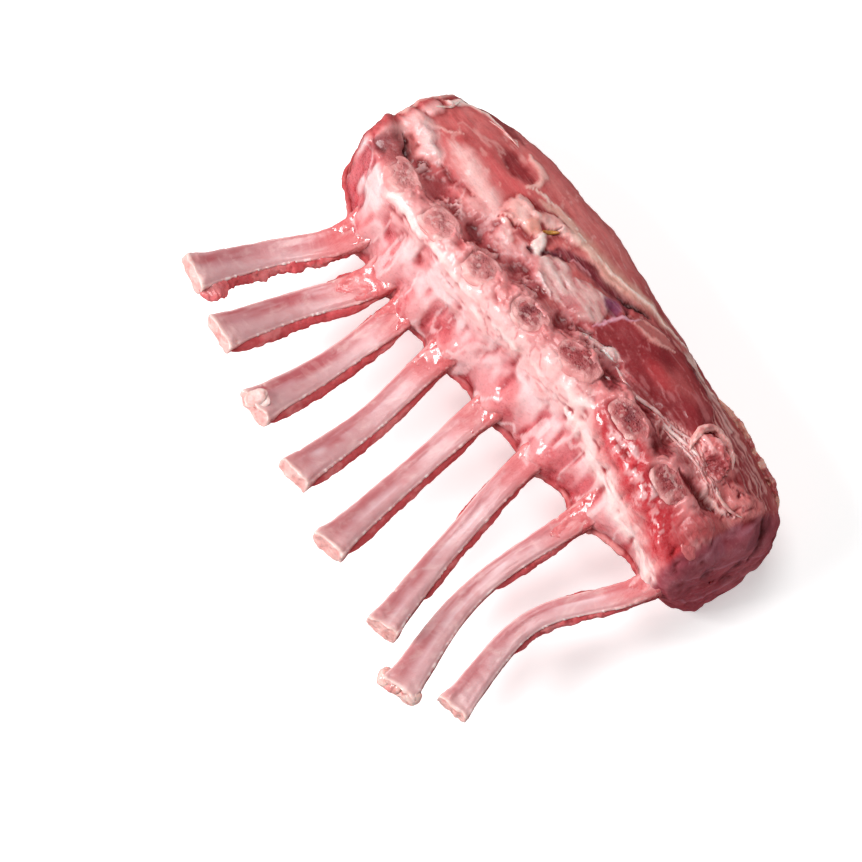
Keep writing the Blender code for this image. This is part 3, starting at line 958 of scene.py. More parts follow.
def paint_back_edge(canvas, plan, up):
    """Along the back: a pale strip of fat and a thin white seam before the muscle turns down."""
    points = canvas.points
    canvas.line(BACK_FAT, 5.4, srgb(230, 176, 160), 0.4, soft=0.9, share=0.85, grain=0.0, film=0.3)
    canvas.line(((50, -27.5), (38, -29), (27, -30)), 2.4, srgb(240, 196, 182), 0.3, soft=0.8)
    canvas.line(BACK_SEAM, 1.1, srgb(246, 218, 208), 0.4, grain=0.0)
    # Thin broken fat further on, with a dark line inside it
    edge = up * stroke(plan, THIN_FAT, 3.2, 0.8)
    canvas.paint(edge * patches(points, (12, 3, 3), 39, -0.5, 0.2), srgb(214, 176, 168), 0.3)
    canvas.line(((-10, -36.8), (-24, -39), (-45, -37.5)), 0.9, srgb(120, 60, 66), -0.4)
    # Fine broken lines with dark gaps, where the muscle turns down at the tail
    broken = patches(points, (9, 3, 3), 57, -0.7, 0.1)
    for inset, width in TAIL_LINES:
        line = [(x, y + inset) for x, y in TAIL_EDGE]
        canvas.paint(up * stroke(plan, line, width) * broken * 0.7, srgb(222, 164, 158), 0.25, grain=0.0)
        canvas.line([(x, y + 1.0) for x, y in line], 0.8, srgb(124, 38, 46), -0.2, share=0.4)


def paint_neck(canvas, plan, up):
    """The neck end's lumps, its sawn brown spot, a crevice, and a white seam between two muscles."""
    points = canvas.points
    for x0, y0, long in NECK_LUMPS:
        canvas.spot((x0, y0), (long, long * 0.75), 30, srgb(249, 182, 180), 1.1, soft=0.7, grain=0.1, wet=0.8)
    # The sawn brown spot, with the crevice beside it
    canvas.spot((99, 10.5), (7.4, 5.4), -10, srgb(164, 78, 80), -0.5, soft=0.9, sponge=0.6, wet=0.2)
    canvas.spot((103, 13), (3.6, 3.0), 0, srgb(134, 54, 60), -0.3, soft=0.9)
    canvas.line(((104, 4.5), (98, 6.2), (90, 8.4)), 1.8, srgb(110, 24, 32), -1.7)
    # A wet white streak down the lumps
    streak = stroke(plan, NECK_STREAK, 8.0, 0.8)
    canvas.paint(
        up * streak * patches(points, (6, 2.5, 2.5), 43, -0.9, 0.2) * 0.95,
        srgb(252, 210, 208), 0.4, wet=1.0,
    )
    # The seam, with a dab of fat on it, and a thin line across the muscle
    canvas.line(NECK_SEAM, 1.5, srgb(247, 216, 208), 0.6, grain=0.0)
    canvas.spot((107, -21), (2.8, 1.8), 70, srgb(248, 218, 212), 0.4)
    canvas.line(((106, -6), (101, -8.4), (97, -11.5), (92, -17)), 0.9, srgb(238, 172, 166), 0.2)


def sawn_middle(chine_y, ledge):
    """The middle of a sawn bone along Y."""
    return chine_y + (ledge - 6) / 2


def sawn_reach(points):
    """How far each point is from the middle of the nearest bare sawn bone, where 1 is the bone's rim."""
    near = points[:, :2] + 0.4 * wander(points, 4, 48)
    nearest = np.full(len(points), 9.0)
    for x, long in CHINE[: CHINE_COVERED - 1]:
        chine_y, _, ledge = cut_values(x)[:3, 0]
        away = (near - (x, sawn_middle(chine_y, ledge))) / (long / 2, CHINE_WIDTH / 2)
        nearest = np.minimum(nearest, (np.abs(away) ** RING_POWER).sum(axis=1) ** (1 / RING_POWER))
    return nearest


def paint_sawn_strip(canvas, plan, strip, up):
    """The sawn chine: soft pink tissue round the bones, with white folds and dark spongy hollows."""
    points = canvas.points
    canvas.paint(strip, srgb(222, 122, 124), wet=0.6, grain=0.0, film=0.1)
    rumple = creases(points, 6.0, 41)
    canvas.paint(strip * (1 - ease(rumple, 0.0, 0.5)) * 0.6, srgb(200, 84, 90), -0.45)
    canvas.paint(strip * ease(rumple, 0.4, 1.0) * 0.6, srgb(240, 180, 178), 0.35)
    uneven = plan + 1.8 * wander(points, 5, 44)
    torn = thread(points + 2.0 * noise(points, 4, 46)[:, None], (3.4, 6, 6), 47, 0.3)
    # White folds, torn across dark red hollows
    for x0, y0, long, wide in CRUMPLED:
        mask = up * oval(uneven, (x0, y0), (long * 1.2, wide * 1.2), 0, 1.0)
        canvas.paint(mask * 0.9, srgb(192, 84, 90), -0.8, wet=0.9)
        canvas.paint(mask * torn, srgb(244, 202, 200), 1.3, wet=0.5)
    # Dark sponge, with a torn pale rim
    for x0, y0, long, wide, dark in ARCHES:
        rim, hollow = (oval(uneven, (x0, y0), (long * k, wide * k), 0, 1.0) for k in (1.8, 1.25))
        canvas.paint(up * rim * 0.7, srgb(186, 78, 84), -0.2, wet=0.5)
        canvas.paint(up * hollow, srgb(196, 84, 88), -0.9, sponge=0.3, wet=0.3)
        core = oval(uneven, (x0 + 0.8, y0 - 0.4), (long * 0.85, wide * 0.7), 0, 1.4)
        canvas.paint(up * core * dark * 0.85, srgb(138, 38, 46), -0.9)
        canvas.paint(up * rim * torn * 0.7 * (1 - core), srgb(222, 148, 148), 0.7)
    # Each sawn bone sits in a low seat with a raised pale ring
    reach = sawn_reach(points)
    canvas.paint(
        up * between(reach, 0.62, 0.86, 1.05, 1.6) * 0.8,
        srgb(228, 140, 140), 0.5, wet=0.7, sponge=0.0,
    )
    canvas.paint(up * (1 - ease(reach, 0.55, 0.85)), srgb(206, 124, 122), -1.6)
    # Dark clots, and painted shade in the gaps behind the last bones
    for x0, y0, long, wide in DARK_CLOTS:
        clot = up * oval(uneven, (x0, y0), (long, wide), 0, 0.7)
        canvas.paint(clot * 0.9, srgb(136, 38, 46), -0.7, wet=0.9)
    canvas.line(((-58, -11), (-66, -12.5), (-76, -14.5)), 3.6, srgb(140, 34, 42), -1.0)
    canvas.line(((-24, -12), (-34, -13.5), (-46, -14)), 2.6, srgb(146, 44, 52), -0.7)


def paint_slope(canvas, plan, slope, up, along):
    """The inside of the rib cage: a glossy pink membrane over the ribs' buried ends, red between them."""
    x, points = plan[:, 0], canvas.points
    canvas.paint(slope, srgb(216, 122, 128), wet=0.9, grain=0.0, film=0.0)
    # The ribs bulge under the membrane, each on its way from the chine to its root
    bulge = np.zeros(len(x))
    for rib, (chine_x, _) in zip(RIBS, CHINE):
        middle = chine_x + (rib[0] - chine_x) * along
        bulge = np.maximum(bulge, np.exp(-(((x - middle) / RIB_BULGE) ** 2)))
    hollow = (1 - bulge) * ease(along, 0.15, 0.7)
    canvas.paint(slope * hollow * 0.8, srgb(208, 96, 102), -2.0)
    canvas.paint(slope * hollow * ease(along, 0.7, 1.0), srgb(156, 42, 52), -0.6)
    canvas.paint(slope * bulge * 0.5, srgb(234, 154, 154), 1.4)
    canvas.paint(slope * bulge * ease(along, 0.7, 1.0) * 0.8, srgb(216, 112, 114))
    # Folds run down the slope: pale at the top, red and wet lower down
    flow = noise(points, (5.5, 18, 18), 51, 2)
    upper = 1 - ease(along, 0.3, 0.8)
    canvas.paint(slope * ease(flow, -0.3, 0.35) * (0.25 + 0.65 * upper), srgb(248, 214, 214), 0.7, wet=0.7)
    canvas.paint(slope * ease(-flow, 0.15, 0.6) * 0.55, srgb(204, 92, 100), -0.8, wet=1.0)
    canvas.paint(slope * thread(points, (7, 22, 22), 52, 0.12) * 0.5, srgb(250, 220, 220), 0.3)
    canvas.paint(slope * patches(points, 9, 54, 0.2, 0.6) * (1 - upper) * 0.6, srgb(200, 72, 80), wet=1.0)
    # The crest along the top of the slope, and the pale fold below its tail half
    fold = stroke(plan, INNER_RIDGE, 8.0, 0.7, taper=False) * patches(points, (14, 6, 6), 55, -0.9, 0.0)
    canvas.paint(up * fold, srgb(240, 190, 188), 1.1, wet=0.4, film=0.0)
    canvas.paint(up * fold * thread(points, (12, 6, 6), 56, 0.1) * 0.6, srgb(206, 100, 106), -0.2)
    band = stroke(plan, RIDGE_FOLD, 6.5, 0.8)
    canvas.paint(
        up * band * patches(points, (10, 3, 3), 58, -1.1, -0.2) * 0.9,
        srgb(251, 220, 216), 0.5, wet=0.6,
    )
    crest = stroke(plan, INNER_RIDGE, 2.2, taper=False) * patches(points, (8, 4, 4), 53, -0.2, 0.3)
    canvas.paint(up * crest, srgb(250, 220, 216), 0.4, wet=0.8)


def paint_tail_corner(canvas, plan, up):
    """Towards the tail: a running wet red ledge with painted glints, and fibrous pink lumps round a red
    sponge.
    """
    points = canvas.points
    ledge = up * stroke(plan, RED_LEDGE, 11.0, 0.5, taper=False)
    canvas.paint(ledge * 0.95, srgb(196, 48, 58), 0.3, wet=1.0, film=0.0)
    canvas.paint(ledge * patches(points, 6, 64, 0.2, 0.7) * 0.45, srgb(222, 84, 90))
    # Painted glints: white flecks that stand in for highlights on the wet ledge
    painted_glints = ease(noise(points, (2.6, 1.5, 1.5), 65, 2), 0.0, 0.2)
    for x0, y0, long, wide in WET_GLINTS:
        canvas.paint(
            up * oval(plan, (x0, y0), (long, wide), 0, 0.9) * painted_glints * 0.55,
            srgb(252, 216, 216), 0.2,
        )
    canvas.paint(ledge, None, 0.2 * noise(points, 6.5, 61, 1))
    # A pink lump at the very end, and the fibrous ones round the red sponge
    canvas.spot((-79, -5), (5, 9), 0, srgb(198, 96, 98), 1.2, soft=0.8, grain=0.5, film=0.3, wet=0.5)
    for x0, y0, long, wide in TAIL_LUMPS:
        mask = up * oval(plan, (x0, y0), (long, wide), 0, 0.8)
        canvas.paint(mask, srgb(214, 122, 120), 1.3, grain=0.6, film=0.4, wet=0.5)
    canvas.spot((-61.5, -22.5), (4.2, 3.8), 0, srgb(150, 46, 52), -0.8, soft=0.9, sponge=0.6)
    # Pale stripes across a band of tissue
    band = up * stroke(plan, STRIPED_BAND, 7, 0.7)
    stripes = np.sin((plan[:, 1] + 0.3 * plan[:, 0] + 1.2 * noise(points, (12, 4, 4), 62)) * 4.6)
    canvas.paint(band, srgb(206, 110, 110), 0.5, grain=0.3, wet=0.5)
    canvas.paint(band * ease(stripes, 0.1, 0.8), srgb(244, 188, 184), 0.5)
    # A white fold, and creases like rings round the last lumps
    canvas.line(((-64, -17), (-70, -14.5), (-76, -16), (-80, -20)), 1.5, srgb(244, 190, 186), 0.9)
    rings = 1 - ease(creases(points, (5, 4, 4), 63), 0.05, 0.3)
    canvas.paint(up * oval(plan, (-74, -22), (9, 9), 0, 0.8) * rings, srgb(170, 66, 70), -0.6)


def paint_ends(canvas, x, y, z):
    """The two cut ends: muscle across the grain, with fascia between the muscles."""
    points = canvas.points
    drift = wander(points, 8, 71)
    face = np.column_stack([y, z]) + 1.4 * drift
    ragged = x + 1.2 * noise(points, 6, 73)
    tail = ease(-ragged, *TAIL_FACE)
    canvas.paint(tail, srgb(166, 64, 76), grain=0.1, film=0.12, wet=0.25, sponge=0.0)
    canvas.paint(tail * patches(points, 16, 74, -0.1, 0.5) * 0.7, srgb(184, 92, 102), 0.7)
    canvas.paint(tail * ease(-noise(points, 14, 75), 0.1, 0.6) * 0.7, srgb(104, 22, 36), -0.7)
    # A paler muscle at the top, and a dark crease under it
    upper = tail * oval(face, (-12, 44), (24, 10), 10, 1.4)
    canvas.paint(upper * (0.3 + 0.4 * patches(points, 8, 76, -0.2, 0.4)), srgb(172, 98, 112), wet=0.4)
    canvas.paint(
        tail * stroke(face, ((-33, 44), (-26, 36), (-20, 27)), 3.6, 1.2) * 0.7,
        srgb(104, 26, 38), -1.5,
    )
    for path, width in TAIL_FASCIA:
        canvas.paint(tail * stroke(face, path, width, 0.9) * 0.6, srgb(196, 124, 138), 0.15, grain=0.0)
    neck = ease(ragged, *NECK_FACE)
    canvas.paint(neck, srgb(196, 82, 84), grain=0.4, film=0.15, wet=0.4, sponge=0.0)
    canvas.paint(neck * oval(face, (-10, 34), (17, 12), 20), srgb(186, 66, 70), 1.0)
    for path, width in NECK_FASCIA:
        canvas.paint(neck * stroke(face, path, width), srgb(236, 178, 170), 0.5, grain=0.0)


def build_loin(context):
    """The loin: its skin is painted, and then moved out and in by the relief that the paint gives."""
    unevenness, colours = context.scene.rack_loin.unevenness, context.scene.rack_colours
    grid, place = loin_grid()
    points = grid.reshape(-1, 3)
    place = place.reshape(-1)
    x, y, z = points.T
    chine_y, _, ledge, _, _, trim_y, _ = cut_values(x)
    ridge_y = chine_y + ledge
    along = np.clip((y - ridge_y) / (trim_y - ridge_y), 0, 1)
    # The marks stray a little from their places, so that none has a smooth edge
    drift = 1.5 * wander(points, 9, 11)
    drift += 0.5 * wander(points, 2.6, 13)
    plan = np.column_stack([x, y]) + drift
    up, top, strip, slope, lip = (
        between(place, *stretch) for stretch in (UPPER_SIDE, MUSCLE_TOP, SAWN_STRIP, INNER_SLOPE, TRIMMED_LIP)
    )
    canvas = LoinCanvas(points, srgb(206, 122, 116), plan, up)
    paint_outside(canvas, colours, x, z, place)
    paint_muscle(canvas, plan, top, up)
    paint_fat(canvas, colours, plan, up)
    paint_dark_muscle(canvas, plan, up)
    paint_back_edge(canvas, plan, up)
    paint_sawn_strip(canvas, plan, strip, up)
    paint_slope(canvas, plan, slope, up, along)
    paint_neck(canvas, plan, up)
    paint_tail_corner(canvas, plan, up)
    canvas.paint(lip, srgb(188, 72, 76), grain=0.3, wet=0.6, film=0.2)
    canvas.paint(lip * patches(points, 7, 81, 0.1, 0.5), srgb(222, 142, 140), 0.6)
    canvas.paint(lip, None, 0.8 * noise(points, 5, 82))
    paint_ends(canvas, x, y, z)
    # The lumps of the skin itself, which are lower where the meat is smooth and where it is wet
    ledge = up * stroke(plan, RED_LEDGE, 12.0, 0.6, taper=False)
    rough = 1 - 0.7 * top - 0.4 * slope - 0.85 * ledge
    lumps = (0.9 - 0.6 * ledge) * noise(points, 17, 1)
    lumps = lumps + rough * (0.4 * noise(points, 6, 2) + 0.16 * noise(points, 2.2, 3))
    fibres = 0.3 * noise(points, (10, 1.4, 1.4), 4) * canvas.finish["grain"]
    films = 0.3 * noise(points, (7, 3, 1.8), 5) * canvas.finish["film"]
    relief = (canvas.relief + unevenness * (lumps + fibres + films)) * ease(z, 1.0, 6.0)
    relief = relief.reshape(grid.shape[:2])
    # Painted shade darkens the hollows, and a painted highlight lightens the wet crests
    depth = (smoothed(relief, HOLLOW_REACH) - relief).ravel()
    canvas.shade(ease(depth, 0.08, 0.7) * ease(sawn_reach(points), 0.9, 1.4), CREVICE_SHADE)
    canvas.paint(ease(-depth, 0.1, 0.8) * 0.15 * canvas.finish["wet"], srgb(253, 216, 214))
    moved = raised(grid, relief)
    moved[:, :, 2] = np.maximum(moved[:, :, 2], 0)
    moved[:, :, 0] = leaned(moved[:, :, 0], moved[:, :, 2])
    loin = make_tube("loin_meat", moved, canvas.layers())
    finish_piece(loin, meat_material(colours), "meat", "meat")


# --------------------------------------------
# The bones
# --------------------------------------------

RIB_ROWS = 170
RIB_SIDES = 64
TIP_RINGS = 9
TIP_FLARE = 0.7  # how much a rib's half width grows towards its tip
TIP_FLARE_LENGTH = 9.0
TIP_RAGGED = 0.7  # how far the cut tip's edge juts out and in
DEEP_SHADED_RIBS = 3  # how many ribs, from the neck end, have strong painted shade in the hollow of their upper face
# Powers of the sine and cosine that draw a section: the smaller, the squarer
RIB_WIDTH_POWER, RIB_THICKNESS_POWER = 0.56, 0.46
# The shallow hollow along a rib's broad faces, as shares of its half thickness and its half width
RIB_HOLLOW, RIB_HOLLOW_WIDTH = 0.1, 0.55
SAWN_POWER = 0.82
SAWN_SIDES = 80
SAWN_RINGS = 24
# Below the sawn face: how wide each ring is, as a share of the face, and how deep it lies
SAWN_SKIRT = [(1.05, 1.4), (1.0, 3.0), (0.95, 4.5), (0.6, 7.0)]


def squared(wave, power):
    """A sine or cosine pushed outwards, so that the oval it draws turns squarer."""
    return np.sign(wave) * np.abs(wave) ** power


def rib_frame(rib, shares):
    """The middle line of a rib, its sideways and its outward direction, its half widths, and its length."""
    line, length = rib_line(rib, shares)
    way = np.gradient(line, axis=0)
    way /= np.linalg.norm(way, axis=1)[:, None]
    across = np.cross((0.0, 0.0, 1.0), way)
    across /= np.linalg.norm(across, axis=1)[:, None]
    over = np.cross(way, across)
    root_width, tip_width = rib[3:5]
    half = through((0, 0.5, 1), (root_width, root_width * RIB_WAIST, tip_width), shares) / 2
    return line, across, over, half, length


def rib_section(sides):
    """A flat section with round edges and a shallow hollow along each of its two broad faces."""
    angle = (np.arange(sides) + 0.5) * 2 * math.pi / sides
    side, rise = squared(np.cos(angle), RIB_WIDTH_POWER), squared(np.sin(angle), RIB_THICKNESS_POWER)
    return side, rise * (1 - RIB_HOLLOW * np.exp(-((side / RIB_HOLLOW_WIDTH) ** 2)))


def rib_grid(number, rib):
    """A rib's skin before any relief, in rows from its seat to its tip and then in over the cut tip.

    With it come how far each row is from the seat, how much of the full section it has, and the way in
    which the rib points at its tip."""
    shares = np.linspace(0, 1, RIB_ROWS)
    line, across, over, half, length = rib_frame(rib, shares)
    half = half + TIP_FLARE * ease(shares * length, length - TIP_FLARE_LENGTH, length - 0.5)
    side, rise = rib_section(RIB_SIDES)
    half_thick = rib[5] / 2 * (1 + 0.05 * np.sin(shares * 9 + number))
    grid = (
        line[:, None]
        + (half[:, None] * side)[:, :, None] * across[:, None]
        + (half_thick[:, None] * rise)[:, :, None] * over[:, None]
    )
    way = line[-1] - line[-2]
    way /= np.linalg.norm(way)
    cut = np.linspace(1, 0, TIP_RINGS, endpoint=False)[1:, None, None]
    middle = grid[-1].mean(axis=0)
    grid = np.concatenate([grid, middle + (grid[-1:] - middle) * cut])
    far = np.concatenate([shares * length, np.full(TIP_RINGS - 1, length)])
    inward = np.concatenate([np.ones(RIB_ROWS), cut.ravel()])
    return grid, far, inward, way


def paint_rib_length(canvas, number, local, sideways, facing, body):
    """Along a rib: streaks, painted shade and a painted highlight on the face that looks up, a white rim with
    painted glints along one edge, red walls, and meat at the root.
    """
    facing_up = ease(facing, 0.0, 0.6) * body
    drift = sideways + 0.2 * noise(local, (34, 9, 9), 102)
    dark, pale, bright = (0.95, 0.9, 0.3) if number <= DEEP_SHADED_RIBS else (0.5, 0.7, 0.7)
    # Painted shade along the upper half of the hollow in the face that looks up, then a paler lower half
    canvas.paint(facing_up * between(drift, -0.95, -0.6, -0.1, 0.25) * dark, srgb(186, 98, 104), -0.25)
    canvas.paint(facing_up * ease(drift, -0.1, 0.35) * pale, srgb(212, 168, 170), 0.1)
    canvas.paint(facing_up * patches(local, (26, 3, 3), 101, 0.0, 0.6) * 0.5, srgb(219, 170, 173), wet=0.5)
    # A painted highlight along the middle of the face that looks up
    ridge_highlight = between(drift, -0.35, -0.1, 0.0, 0.3) * patches(local, (18, 40, 40), 110, -0.5, 0.3)
    canvas.paint(facing_up * ridge_highlight * bright, srgb(236, 210, 214), 0.15, wet=0.7)
    ticks = noise(local, (1.1, 8, 8), 111, 2) * patches(local, (14, 9, 9), 112, 0.1, 0.4)
    canvas.paint(facing_up * ease(ticks, 0.2, 0.5) * 0.18, srgb(236, 190, 188))
    rim = between(np.abs(sideways), 0.84, 0.91, 0.96, 0.995) * facing_up
    canvas.paint(rim * 0.85, srgb(236, 196, 194), 0.2 + 0.16 * noise(local, (4, 2, 2), 103), wet=0.6)
    # Painted glints: tiny near-white specks on the rim of the lower edge
    specks = ease(noise(local, (0.9, 1.5, 1.5), 113, 1), 0.45, 0.6)
    canvas.paint(rim * (sideways > 0) * specks, srgb(253, 236, 232), 0.25, wet=1.0)
    wall = ease(np.abs(sideways), 0.93, 0.99) * (1 - ease(facing, 0.35, 0.75)) * body
    canvas.paint(wall * (0.4 + 0.5 * (sideways > 0)), srgb(194, 84, 86), wet=0.6, grain=0.3)
    canvas.paint(ease(facing, -0.2, -0.7) * 0.8 * body, srgb(200, 104, 104), grain=0.3, wet=0.4)
    out = local[:, 0] - RIB_SEAT_IN
    climbed = 1 - ease(out + 6 * noise(local, (9, 5, 5), 109), 2, 26)
    canvas.paint(climbed * 0.8, srgb(212, 104, 106), 0.3, wet=0.9)


def paint_rib_tip(canvas, local, length, core, body):
    """The cut tip: a pale edge round spongy bone. Core is 1 at its edge and 0 in its middle."""
    flat, far = canvas.points, local[:, 0]
    out = far - RIB_SEAT_IN
    near_tip = ease(out, length - RIB_SEAT_IN - 8, length - RIB_SEAT_IN - 1)
    canvas.paint(near_tip * 0.5, srgb(222, 170, 168), 0.2)
    canvas.paint(ease(far, length - 1.6, length - 0.4) * 0.8, srgb(246, 210, 202))
    canvas.paint(~body, srgb(234, 182, 176), sponge=0.25, wet=0.4)
    spongy = ~body * patches(flat, 3, 114, -0.1, 0.4) * (1 - ease(core, 0.8, 0.95))
    canvas.paint(spongy * 0.5, srgb(214, 136, 132), sponge=0.6)
    canvas.paint(~body * (1 - ease(core, 0.8, 1.0)), None, 0.35 * noise(flat, 2.0, 115))
    canvas.paint(near_tip * body, None, 0.3 * noise(local, 1.8, 104))


def build_rib(number, rib, unevenness):
    """One rib bone, from its seat in the meat to its cut tip, ridged, nicked and streaked."""
    grid, from_seat, inward, way = rib_grid(number, rib)
    length = from_seat[-1]
    side, rise = rib_section(RIB_SIDES)
    flat = grid.reshape(-1, 3)
    sideways = np.tile(side, len(grid))
    facing = np.tile(rise, len(grid))
    local = np.column_stack([np.repeat(from_seat, RIB_SIDES), sideways * 6, facing * 3 + number * 50])
    body = np.repeat(np.arange(len(grid)) < RIB_ROWS, RIB_SIDES)
    canvas = Canvas(flat, srgb(203, 134, 137), wet=0.3)
    paint_rib_length(canvas, number, local, sideways, facing, body)
    paint_rib_tip(canvas, local, length, np.repeat(inward, RIB_SIDES), body)
    canvas.lift(0.2 * noise(local, (20, 3, 3), 105) + 0.07 * noise(local, 2.4, 106))
    nick = patches(local, (3, 5, 5), 107, 0.75, 1.0)
    canvas.paint(nick * ease(np.abs(sideways), 0.6, 0.9) * body, srgb(236, 190, 184), -0.4)
    moved = raised(grid, unevenness * canvas.relief)
    ragged = np.repeat(ease(from_seat, length - 3, length), RIB_SIDES).reshape(grid.shape[:2])
    saw = noise(flat, 2.8, 108).reshape(grid.shape[:2])
    moved += (ragged * saw * TIP_RAGGED)[:, :, None] * way
    return make_tube(f"rib_bone_{number}", moved, canvas.layers())


def build_ribs(context):
    """The eight rib bones."""
    material = bone_material(context.scene.rack_colours)
    for number, rib in enumerate(RIBS, 1):
        bone = build_rib(number, rib, context.scene.rack_bones.unevenness)
        finish_piece(bone, material, "rib_bone", f"rib_{number}")


def build_sawn_bone(number, place):
    """A vertebra's sawn face: an uneven low dome of sponge in a pale rim."""
    middle_x, long = place
    size = CHINE_COVERED_SIZE if number == CHINE_COVERED else 1.0
    angle = np.arange(SAWN_SIDES) * 2 * math.pi / SAWN_SIDES
    side, rise = squared(np.cos(angle), SAWN_POWER), squared(np.sin(angle), SAWN_POWER)
    round_it = np.column_stack([side * 9, rise * 9, np.full(SAWN_SIDES, number * 30.0)])
    wobble = 1.0 + 0.11 * noise(round_it, 7, 121)
    profile = [(share, 0.8 * share**2 - 0.35) for share in np.linspace(0.04, 1.0, SAWN_RINGS)]
    profile += SAWN_SKIRT
    rows = []
    for share, depth in profile:
        x = middle_x + side * wobble * (long * size / 2 * share)
        left = end_share(x)
        chine_y, chine_z, ledge = cut_values(x)[:3]
        y = sawn_middle(chine_y, ledge) + rise * wobble * (CHINE_WIDTH * size / 2 * share)
        cut = np.column_stack([y, chine_z - depth])
        rows.append(np.column_stack([x, END_MIDDLE + (cut - END_MIDDLE) * left[:, None]]))
    grid = np.array(rows)
    flat = grid.reshape(-1, 3)
    share = np.repeat([share for share, _ in profile], SAWN_SIDES)
    top = np.repeat([depth < SAWN_SKIRT[0][1] for _, depth in profile], SAWN_SIDES).astype(float)
    lean = np.tile(rise, len(profile)) * share
    canvas = Canvas(flat, srgb(222, 146, 144), wet=0.6)
    canvas.paint(patches(flat, 3.5, 127, 0.0, 0.5) * 0.7, srgb(232, 168, 164))
    canvas.paint(ease(0.4 - noise(flat, 6, 126), 0.0, 0.6) * ease(number, 4, 6) * 0.75, srgb(202, 96, 98))
    reach = share + 0.35 * lean + 0.3 * noise(flat, 4.5, 122)
    inner = (1 - ease(reach, 0.35, 0.95)) * top
    # The bones at the neck end are paler than those at the tail
    fresh = 1 - 0.5 * (1 - ease(number, 2, 5))
    canvas.paint(inner * fresh, srgb(162, 60, 64), -0.2, sponge=0.6, wet=0.2)
    marrow = inner * patches(flat, 4, 129, -0.2, 0.4) * (1 - ease(reach, 0.1, 0.7))
    canvas.paint(marrow * fresh, srgb(126, 40, 48), -0.2, sponge=0.8)
    canvas.paint(inner * ease(noise(flat, 1.6, 130, 2), 0.3, 0.6) * 0.5, srgb(220, 176, 172), 0.1)
    lit_edge = top * between(share, 0.55, 0.68, 0.8, 0.95) * ease(lean, 0.1, 0.6)
    canvas.paint(lit_edge * patches(flat, 5, 124, 0.0, 0.5) * 0.7, srgb(244, 196, 190), 0.3, wet=0.9)
    if number == CHINE_COVERED:
        canvas.paint(np.ones(len(flat)), srgb(208, 108, 110), sponge=0.0, wet=0.9)
    canvas.paint(top, None, 0.25 * noise(flat, 2.4, 125) + 0.4 * noise(flat, 6, 128))
    moved = raised(grid, canvas.relief)
    moved[:, :, 0] = leaned(moved[:, :, 0], moved[:, :, 2])
    return make_tube(f"sawn_bone_{number}", moved, canvas.layers())


def build_sawn_bones(context):
    """The eight sawn chine bones."""
    material = sawn_material(context.scene.rack_colours)
    for number, place in enumerate(CHINE, 1):
        bone = build_sawn_bone(number, place)
        finish_piece(bone, material, "sawn_bone", f"chine_bone_{number}")


# --------------------------------------------
# Meat on the ribs, and loose tissue
# --------------------------------------------

SLEEVE_ROWS = 34
SLEEVE_SIDES = 84
SLEEVE_LEAST = 2.5  # how far up a rib its meat climbs at least
SLEEVE_THICK = 1.7  # at the seat: it thins out on the way up
SLEEVE_REACHES = (11.0, 12.0, 10.0, 9.0, 9.0, 9.0, 10.0, 12.0)  # how far up each rib its meat climbs
LINE_STEPS = 400  # how finely a rib's middle line is read
CLEAR_OF_MEAT = 0.2  # in metres: a place well outside the loin, to look at its skin from
# Strips of meat along the ribs' edges: the rib's number, where they start and end as shares of its length,
# how far they stand out, which edge, and how rough
SHREDS = (
    (1, 0.20, 0.985, 2.6, 1, 0.25), (1, 0.85, 1.0, 3.6, 1, 0.3), (2, 0.18, 0.99, 2.8, 1, 0.1),
    (3, 0.18, 0.99, 2.4, 1, 0.1), (4, 0.18, 0.98, 2.2, 1, 0.1), (5, 0.18, 0.97, 2.0, 1, 0.1),
    (6, 0.18, 0.80, 1.8, 1, 0.14), (7, 0.18, 0.50, 1.8, 1, 0.16), (8, 0.18, 0.70, 1.6, 1, 0.16),
    (2, 0.18, 0.42, 1.2, -1, 0.2), (3, 0.18, 0.38, 1.2, -1, 0.2), (6, 0.18, 0.5, 1.0, -1, 0.2),
    (8, 0.2, 0.5, 1.0, -1, 0.2),
)
# White fat on one rib's tip. Stations are places along a rib, as shares of its length.
TIP_FAT_RIB = 3
TIP_FAT_OUT = 0.47  # how far outwards its middle lies, as a share of the rib's thickness
TIP_FAT_STATIONS = (0.90, 0.94, 0.97, 0.985)
# Its lumps: which station, how far sideways, as a share of the half width, half length, half width, how rough
TIP_FAT = ((3, -0.35, 4.4, 3.2, 0.16), (2, -0.1, 3.4, 3.6, 0.16))
# The knuckle of gristle across another rib's tip
KNUCKLE_RIB = 7
KNUCKLE_STATIONS = (0.94, 0.985)
# Its path: how far sideways, as a share of the half width, and how far past the tip
KNUCKLE = ((-1.05, -1.4), (-0.6, 0.2), (0.0, 0.8), (0.6, 0.3), (1.05, -1.2))
# Small knobs of gristle on that knuckle: how far sideways, as a share of the half width, how far
# outwards, how far past the tip, and how big
KNOBS = ((-0.95, -0.6, -0.6, 3.6), (-0.1, 0.3, 0.0, 3.2), (0.8, 0.2, -0.4, 3.6))
# The fold and the hook of the curled flap: x, y, how far above the meat
FLAP_FOLD = ((-48.5, -24, -0.6), (-54, -25.4, 0.2), (-60, -24, 0.2), (-66, -20.5, -0.4))
FLAP_HOOK = (
    (-52, -18.5, 0.3), (-48.8, -21.5, 0.8), (-47, -26, 1.0), (-49, -30.5, 1.0), (-54, -32, 1.0),
    (-60, -31, 0.8), (-65, -28, 0.3),
)
